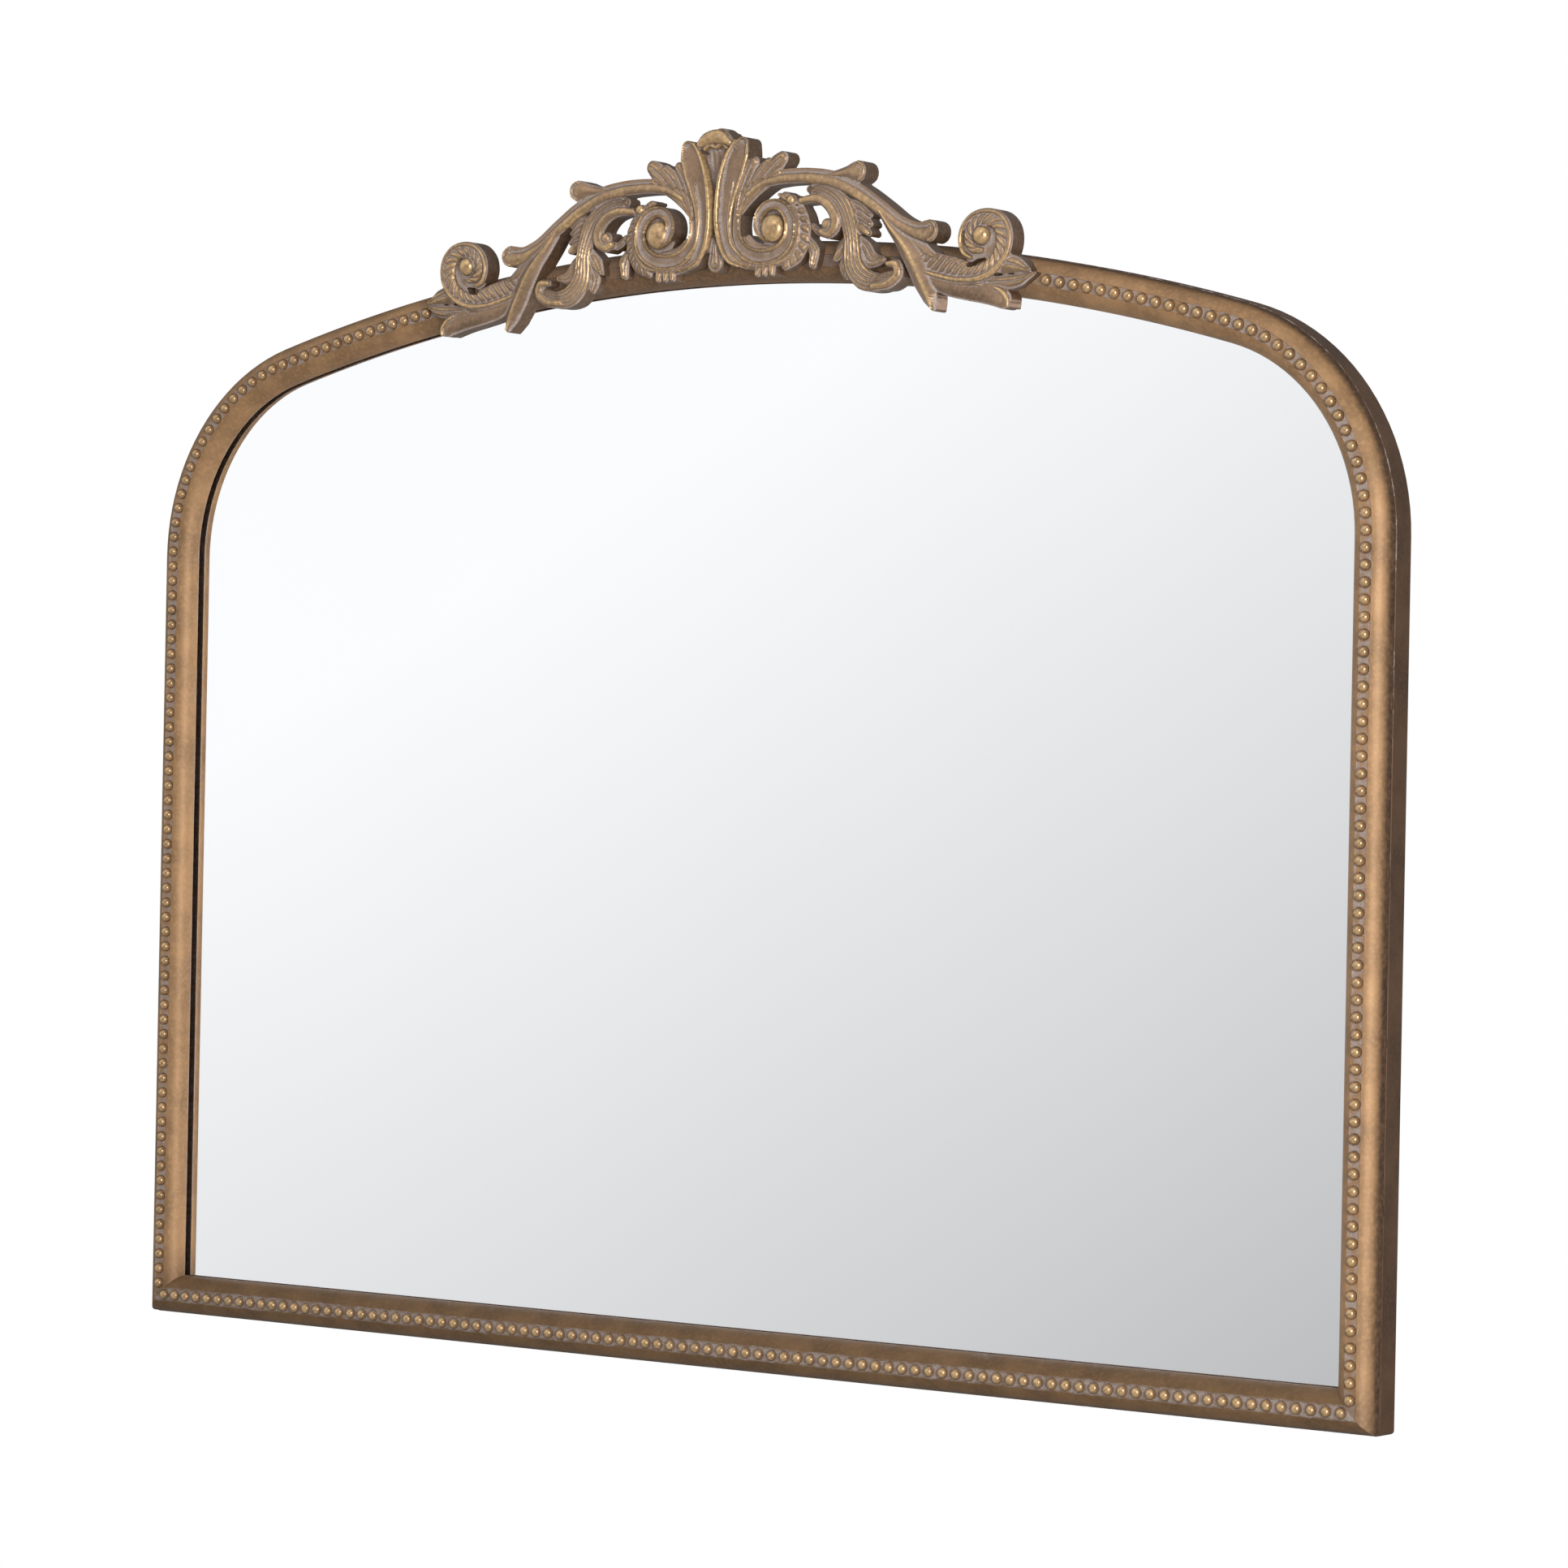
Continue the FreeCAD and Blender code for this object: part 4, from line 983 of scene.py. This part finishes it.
def carve_scrollwork(relief):
    """The right half: rail with two flared stubs, end volute with its opening, acanthus and inner scroll."""
    relief.bands(RAIL)
    flare_rings(relief, 156.4, 10.2, 5.6, 38.6, -10)
    flare_rings(relief, 104.2, 47.4, 5.5, 38.2, 5)
    relief.ball(194, 3.4, 16.4, 34.2, 0.6)
    relief.bands(VOLUTE)
    relief.ball(192.5, 6, 5.6, 36.6, 4.6)
    relief.pierce((184, -10.6, 3), (188.6, -9.4, 4.4), (193.4, -8.2, 3))
    relief.bands(VOLUTE_LEAVES)
    relief.bands(ACANTHUS)
    relief.ball(82.8, 17.6, 3.8, 36.4, 3.4)
    relief.ball(44.5, 17.5, 12.6, 34.0, 0.4)
    relief.bands(SCROLL)
    relief.ball(42.9, 17.6, 8.3, 36.8, 5.4)
    relief.ball(56.6, 33.4, 3.2, 36.6, 3.4)
    for x, lean in ((32.6, -0.8), (37.4, -0.2), (42.2, 0.5)):
        relief.band(round_cut, 2.2, 36, (x, -3, 3.4), (x + lean * 0.6, -6.4, 4.6), (x + lean, -9, 3.4))


def carve_palmette(relief):
    for side in (-1, 1):
        relief.bands(PALMETTE_HALF, side)
    relief.bands(PALMETTE_MIDDLE)


class MIRROR_OT_crest(bpy.types.Operator):
    """Carves the crest: scrollwork on both sides and the palmette between them"""
    bl_idname = "mirror.crest"
    bl_label = "Carved crest"

    def place(self, bm, name, material):
        piece = dress(make_object(bm, name, 50.0), material, BODY, "crest_finish", "crest")
        piece.visible_glossy = False

    def execute(self, context):
        sizes = context.scene.mirror_sizes
        crest = context.scene.mirror_crest
        colours = context.scene.mirror_finish
        antique = antique_finish("antique_gold", colours, colours.casting, gold=(0.55, 0.84), glaze=(0.18, 0.42),
                                 metal=0.5, rough=0.4)
        lift = Matrix.Translation((0, 0, sizes.crown_rise))
        cell = crest.cell / MM

        scrollwork = Relief((2, -42), (232, 60), cell)
        carve_scrollwork(scrollwork)
        for name, side in (("crest_scrollwork_right", 1), ("crest_scrollwork_left", -1)):
            bm = scrollwork.mesh(crest.back)
            bmesh.ops.transform(bm, verts=bm.verts, matrix=lift @ Matrix.Diagonal((side, 1, 1, 1)))
            bmesh.ops.recalc_face_normals(bm, faces=bm.faces)
            self.place(bm, name, antique)

        palmette = Relief((-58, -14), (58, 82), cell)
        carve_palmette(palmette)
        bm = palmette.mesh(crest.back)
        bmesh.ops.transform(bm, verts=bm.verts, matrix=lift)
        self.place(bm, "crest_palmette", antique)
        return {"FINISHED"}


class MIRROR_OT_glass(bpy.types.Operator):
    """Gives the mirror glass, its pads and blocks their finishes"""
    bl_idname = "mirror.glass"
    bl_label = "Mirror glass"

    def execute(self, context):
        colours = context.scene.mirror_finish
        cover("mirror_glass", silvering(colours))
        rubber = soft_matt("black_rubber", (0.03, 0.03, 0.03), 900.0)
        cover("glass_pads", rubber)
        cover("setting_blocks", rubber)
        return {"FINISHED"}


class MIRROR_OT_back(bpy.types.Operator):
    """Finishes the backing board, the felt bumpers and the crest's pins"""
    bl_idname = "mirror.back"
    bl_label = "Backing board and bumpers"

    def execute(self, context):
        colours = context.scene.mirror_finish
        cover("backing_board", fibreboard(colours))
        cover("crest_pins", satin_metal("pin_steel", colours.zinc, metal=1.0, rough=0.35, scale=90.0))
        bumpers = rounded_copy("wall_bumpers", "wall_bumpers_dressed", 0.0012, 3)
        dress(bumpers, soft_matt("bumper_felt", colours.felt, 1400.0), BODY, "felt", "wall_bumpers")
        return {"FINISHED"}


def in_cross(spot):
    """Whether a spot on a screw's head, a square from -1 to 1 before it is rounded, lies in the cross recess."""
    near, far = sorted((abs(spot.x), abs(spot.y)))
    return near < 0.1 and far < 0.6


class MIRROR_OT_hangers(bpy.types.Operator):
    """Bends the wire D-rings and finishes their straps and screws"""
    bl_idname = "mirror.hangers"
    bl_label = "Hangers"

    def ring(self, name, node, body, steel):
        low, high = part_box(node)
        wire = (high.y - low.y) / 2
        middle = (low + high) / 2
        half = (high.x - low.x) / 2 - wire
        drop = -low.z - wire
        corner = 0.003
        straight = drop - half - corner
        bm = bmesh.new()
        circle = bmesh.ops.create_circle(bm, segments=12, radius=wire)["verts"]
        bmesh.ops.rotate(bm, verts=circle, matrix=Matrix.Rotation(math.pi / 2, 3, "Y"))
        bmesh.ops.translate(bm, verts=circle, vec=(middle.x, middle.y, 0))
        edges = unique(edge for vert in circle for edge in vert.link_edges)
        edges = extruded(bm, edges, (half - corner, 0, 0))
        edges = spun(bm, edges, (middle.x + half - corner, middle.y, -corner), -math.pi / 2, 6)
        edges = extruded(bm, edges, (0, 0, -straight))
        edges = spun(bm, edges, (middle.x, middle.y, half - drop), -math.pi, 24)
        edges = extruded(bm, edges, (0, 0, straight))
        edges = spun(bm, edges, (middle.x - half + corner, middle.y, -corner), -math.pi / 2, 6)
        extruded(bm, edges, (half - corner, 0, 0))
        dress(finish_mesh(bm, name, 60.0), steel, body, "steel", node)

    def screws(self, steel):
        """Pan-head screws with a cross recess."""
        low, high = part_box("hanger_screws")
        head = (high.z - low.z) / 2
        shank_share = 0.45
        recess = 1.1 * MM
        strap = 1.0 * MM
        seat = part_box("hanger_plate_left")[0].y + strap
        bm = bmesh.new()
        for side in (-1, 1):
            grid = bmesh.ops.create_grid(bm, x_segments=9, y_segments=9, size=1.0)["verts"]
            faces = unique(face for vert in grid for face in vert.link_faces)
            arms = [face for face in faces if in_cross(face.calc_center_median())]
            rim = unique(edge for vert in grid for edge in vert.link_edges if edge.is_boundary)
            for vert in grid:
                x, y = vert.co.x, vert.co.y
                across, along = x * math.sqrt(1 - y * y / 2), y * math.sqrt(1 - x * x / 2)
                rise = 0.35 + 0.65 * math.sqrt(max(0.0, 1 - 0.93 * (across**2 + along**2)))
                vert.co = (across * head, along * head, rise * (high.y - seat))
            sunk = only(bmesh.types.BMVert, bmesh.ops.extrude_face_region(bm, geom=arms)["geom"])
            bmesh.ops.translate(bm, verts=sunk, vec=(0, 0, -recess))
            bmesh.ops.delete(bm, geom=arms, context="FACES_ONLY")
            skirt = levelled(extruded(bm, rim), 0.0)
            neck = extruded(bm, skirt)
            bmesh.ops.scale(bm, verts=ends(neck), vec=(shank_share, shank_share, 1))
            tip = extruded(bm, neck, (0, 0, low.y - seat))
            made = unique([*grid, *sunk, *ends(skirt), *ends(neck), *ends(tip)])
            bmesh.ops.rotate(bm, verts=made, matrix=Matrix.Rotation(-math.pi / 2, 3, "X"))
            bmesh.ops.translate(bm, verts=made, vec=(side * (high.x - head), seat, (low.z + high.z) / 2))
        dress(finish_mesh(bm, "hanger_screws_dressed", 30.0), steel, BODY, "steel", "hanger_screws")

    def execute(self, context):
        colours = context.scene.mirror_finish
        steel = satin_metal("zinc_plate", colours.zinc, metal=1.0, rough=0.32, scale=80.0)
        for side in ("left", "right"):
            self.ring("ring_" + side + "_dressed", "hanger_ring_" + side, side + "_ring", steel)
        for side in ("left", "right"):
            plate = rounded_copy("hanger_plate_" + side, "strap_" + side + "_dressed", 0.00018, 2)
            dress(plate, steel, BODY, "steel", "hanger_plate_" + side)
        self.screws(steel)
        return {"FINISHED"}


class MIRROR_OT_stage(bpy.types.Operator):
    """Sets the floor, the soft light and the camera"""
    bl_idname = "mirror.stage"
    bl_label = "Stage"

    def floor(self, stage):
        bm = bmesh.new()
        bmesh.ops.create_grid(bm, x_segments=4, y_segments=4, size=2.4)
        bmesh.ops.translate(bm, verts=bm.verts, vec=(0, 0, stage.floor_height))
        piece = make_object(bm, "floor")
        finish = Finish("floor_white")
        cloud = finish.noise(0.7, 2.0)
        finish.set("Base Color", finish.mix(cloud, (0.86, 0.86, 0.86), (0.9, 0.9, 0.9)))
        finish.set("Roughness", 0.9)
        glow = finish.node("ShaderNodeEmission", {}, {})
        seen = finish.node("ShaderNodeLightPath", {}, {}, "Is Camera Ray")
        lit = Reading(finish, finish.shader.outputs[0])
        mixed = finish.node("ShaderNodeMixShader", {}, {0: seen, 1: lit, 2: glow})
        finish.feed(finish.tree.nodes["Material Output"].inputs["Surface"], mixed)
        piece.data.materials.append(finish.material)

    def lamp(self, name, power, size, place, towards):
        data = bpy.data.lights.new(name, "AREA")
        data.energy = power
        data.shape = "RECTANGLE"
        data.size, data.size_y = size
        lamp = bpy.data.objects.new(name, data)
        lamp.location = place
        lamp.rotation_euler = (Vector(towards) - Vector(place)).to_track_quat("-Z", "Y").to_euler()
        bpy.context.scene.collection.objects.link(lamp)

    def world(self, stage):
        """Camera rays see white, matt surfaces an even weak light, and mirrors a pale gradient before the frame
        with a bright patch straight behind it."""
        world = bpy.data.worlds.new("studio")
        bpy.context.scene.world = world
        world.use_nodes = True
        sky = Graph(world.node_tree)
        direction = sky.node("ShaderNodeTexCoord", {}, {}, "Generated")
        slope = sky.node("ShaderNodeVectorMath", {"operation": "DOT_PRODUCT"},
                         {0: direction, 1: (-1.513, 0.0, 1.736)}, "Value")
        depth = sky.node("ShaderNodeSeparateXYZ", {}, {0: direction}, "Y")
        aside = depth.within(-0.3, 0.2)
        shade = (slope - 0.047).math("MAXIMUM", 0.1).math("MINIMUM", 1.0)
        shade = shade * (1 - aside) + aside * 0.12 + depth.within(0.7, 0.95) * 0.6
        camera, glossy, through = (sky.node("ShaderNodeLightPath", {}, {}, "Is " + kind + " Ray")
                                   for kind in ("Camera", "Glossy", "Transmission"))
        shiny = (glossy + through).math("MINIMUM", 1.0)
        matt = stage.sky * (1 - shiny) + shade * shiny
        background = sky.tree.nodes["Background"].inputs
        sky.feed(background["Color"], (1.0, 1.0, 1.0, 1.0))
        sky.feed(background["Strength"], matt * (1 - camera) + camera)

    def camera(self, stage):
        turn, lift, roll = stage.camera_turn, stage.camera_lift, stage.camera_roll
        back = Vector((math.sin(turn) * math.cos(lift), -math.cos(turn) * math.cos(lift), math.sin(lift)))
        right = Vector((math.cos(turn), math.sin(turn), 0))
        up = back.cross(right)
        across = right * math.cos(roll) + up * math.sin(roll)
        upward = up * math.cos(roll) - right * math.sin(roll)
        target = Vector((stage.target_side, 0, stage.target_height))
        data = bpy.data.cameras.new("camera")
        data.lens = stage.lens
        data.sensor_width = 36.0
        data.clip_end = 60.0
        camera = bpy.data.objects.new("camera", data)
        turn_matrix = Matrix((across, upward, back)).transposed().to_4x4()
        camera.matrix_world = Matrix.Translation(target + back * stage.camera_distance) @ turn_matrix
        bpy.context.scene.collection.objects.link(camera)
        bpy.context.scene.camera = camera

    def execute(self, context):
        stage = context.scene.mirror_stage
        context.scene.view_settings.view_transform = "Standard"
        self.floor(stage)
        middle = (0, 0, -0.1)
        self.lamp("key", stage.key_power, size=(1.0, 1.4), place=(2.5, -1.95, 0.1), towards=middle)
        self.lamp("fill", stage.fill_power, size=(1.2, 1.2), place=(0.2, -2.8, 2.0), towards=middle)
        self.world(stage)
        self.camera(stage)
        return {"FINISHED"}


class MIRROR_PT_panel(bpy.types.Panel):
    """Lists the steps that dress the mirror"""
    bl_label = "Arched mirror"
    bl_idname = "MIRROR_PT_panel"
    bl_space_type = "VIEW_3D"
    bl_region_type = "UI"
    bl_category = "Mirror"

    def draw(self, context):
        for step in STEPS:
            self.layout.operator(step.bl_idname)


STEPS = (MIRROR_OT_moulding, MIRROR_OT_rim, MIRROR_OT_beading, MIRROR_OT_crest, MIRROR_OT_glass, MIRROR_OT_back,
         MIRROR_OT_hangers, MIRROR_OT_stage)
GROUPS = {"mirror_sizes": MirrorSizes, "mirror_crest": CrestSizes, "mirror_finish": MirrorFinish,
          "mirror_stage": StageSettings}


def register():
    for item in (*GROUPS.values(), *STEPS, MIRROR_PT_panel):
        bpy.utils.register_class(item)
    for name, group in GROUPS.items():
        setattr(bpy.types.Scene, name, PointerProperty(type=group))


def unregister():
    for name in GROUPS:
        delattr(bpy.types.Scene, name)
    for item in reversed((*GROUPS.values(), *STEPS, MIRROR_PT_panel)):
        bpy.utils.unregister_class(item)


def main():
    register()
    bpy.ops.mirror.moulding()
    bpy.ops.mirror.rim()
    bpy.ops.mirror.beading()
    bpy.ops.mirror.crest()
    bpy.ops.mirror.glass()
    bpy.ops.mirror.back()
    bpy.ops.mirror.hangers()
    bpy.ops.mirror.stage()


if __name__ == "__main__":
    main()
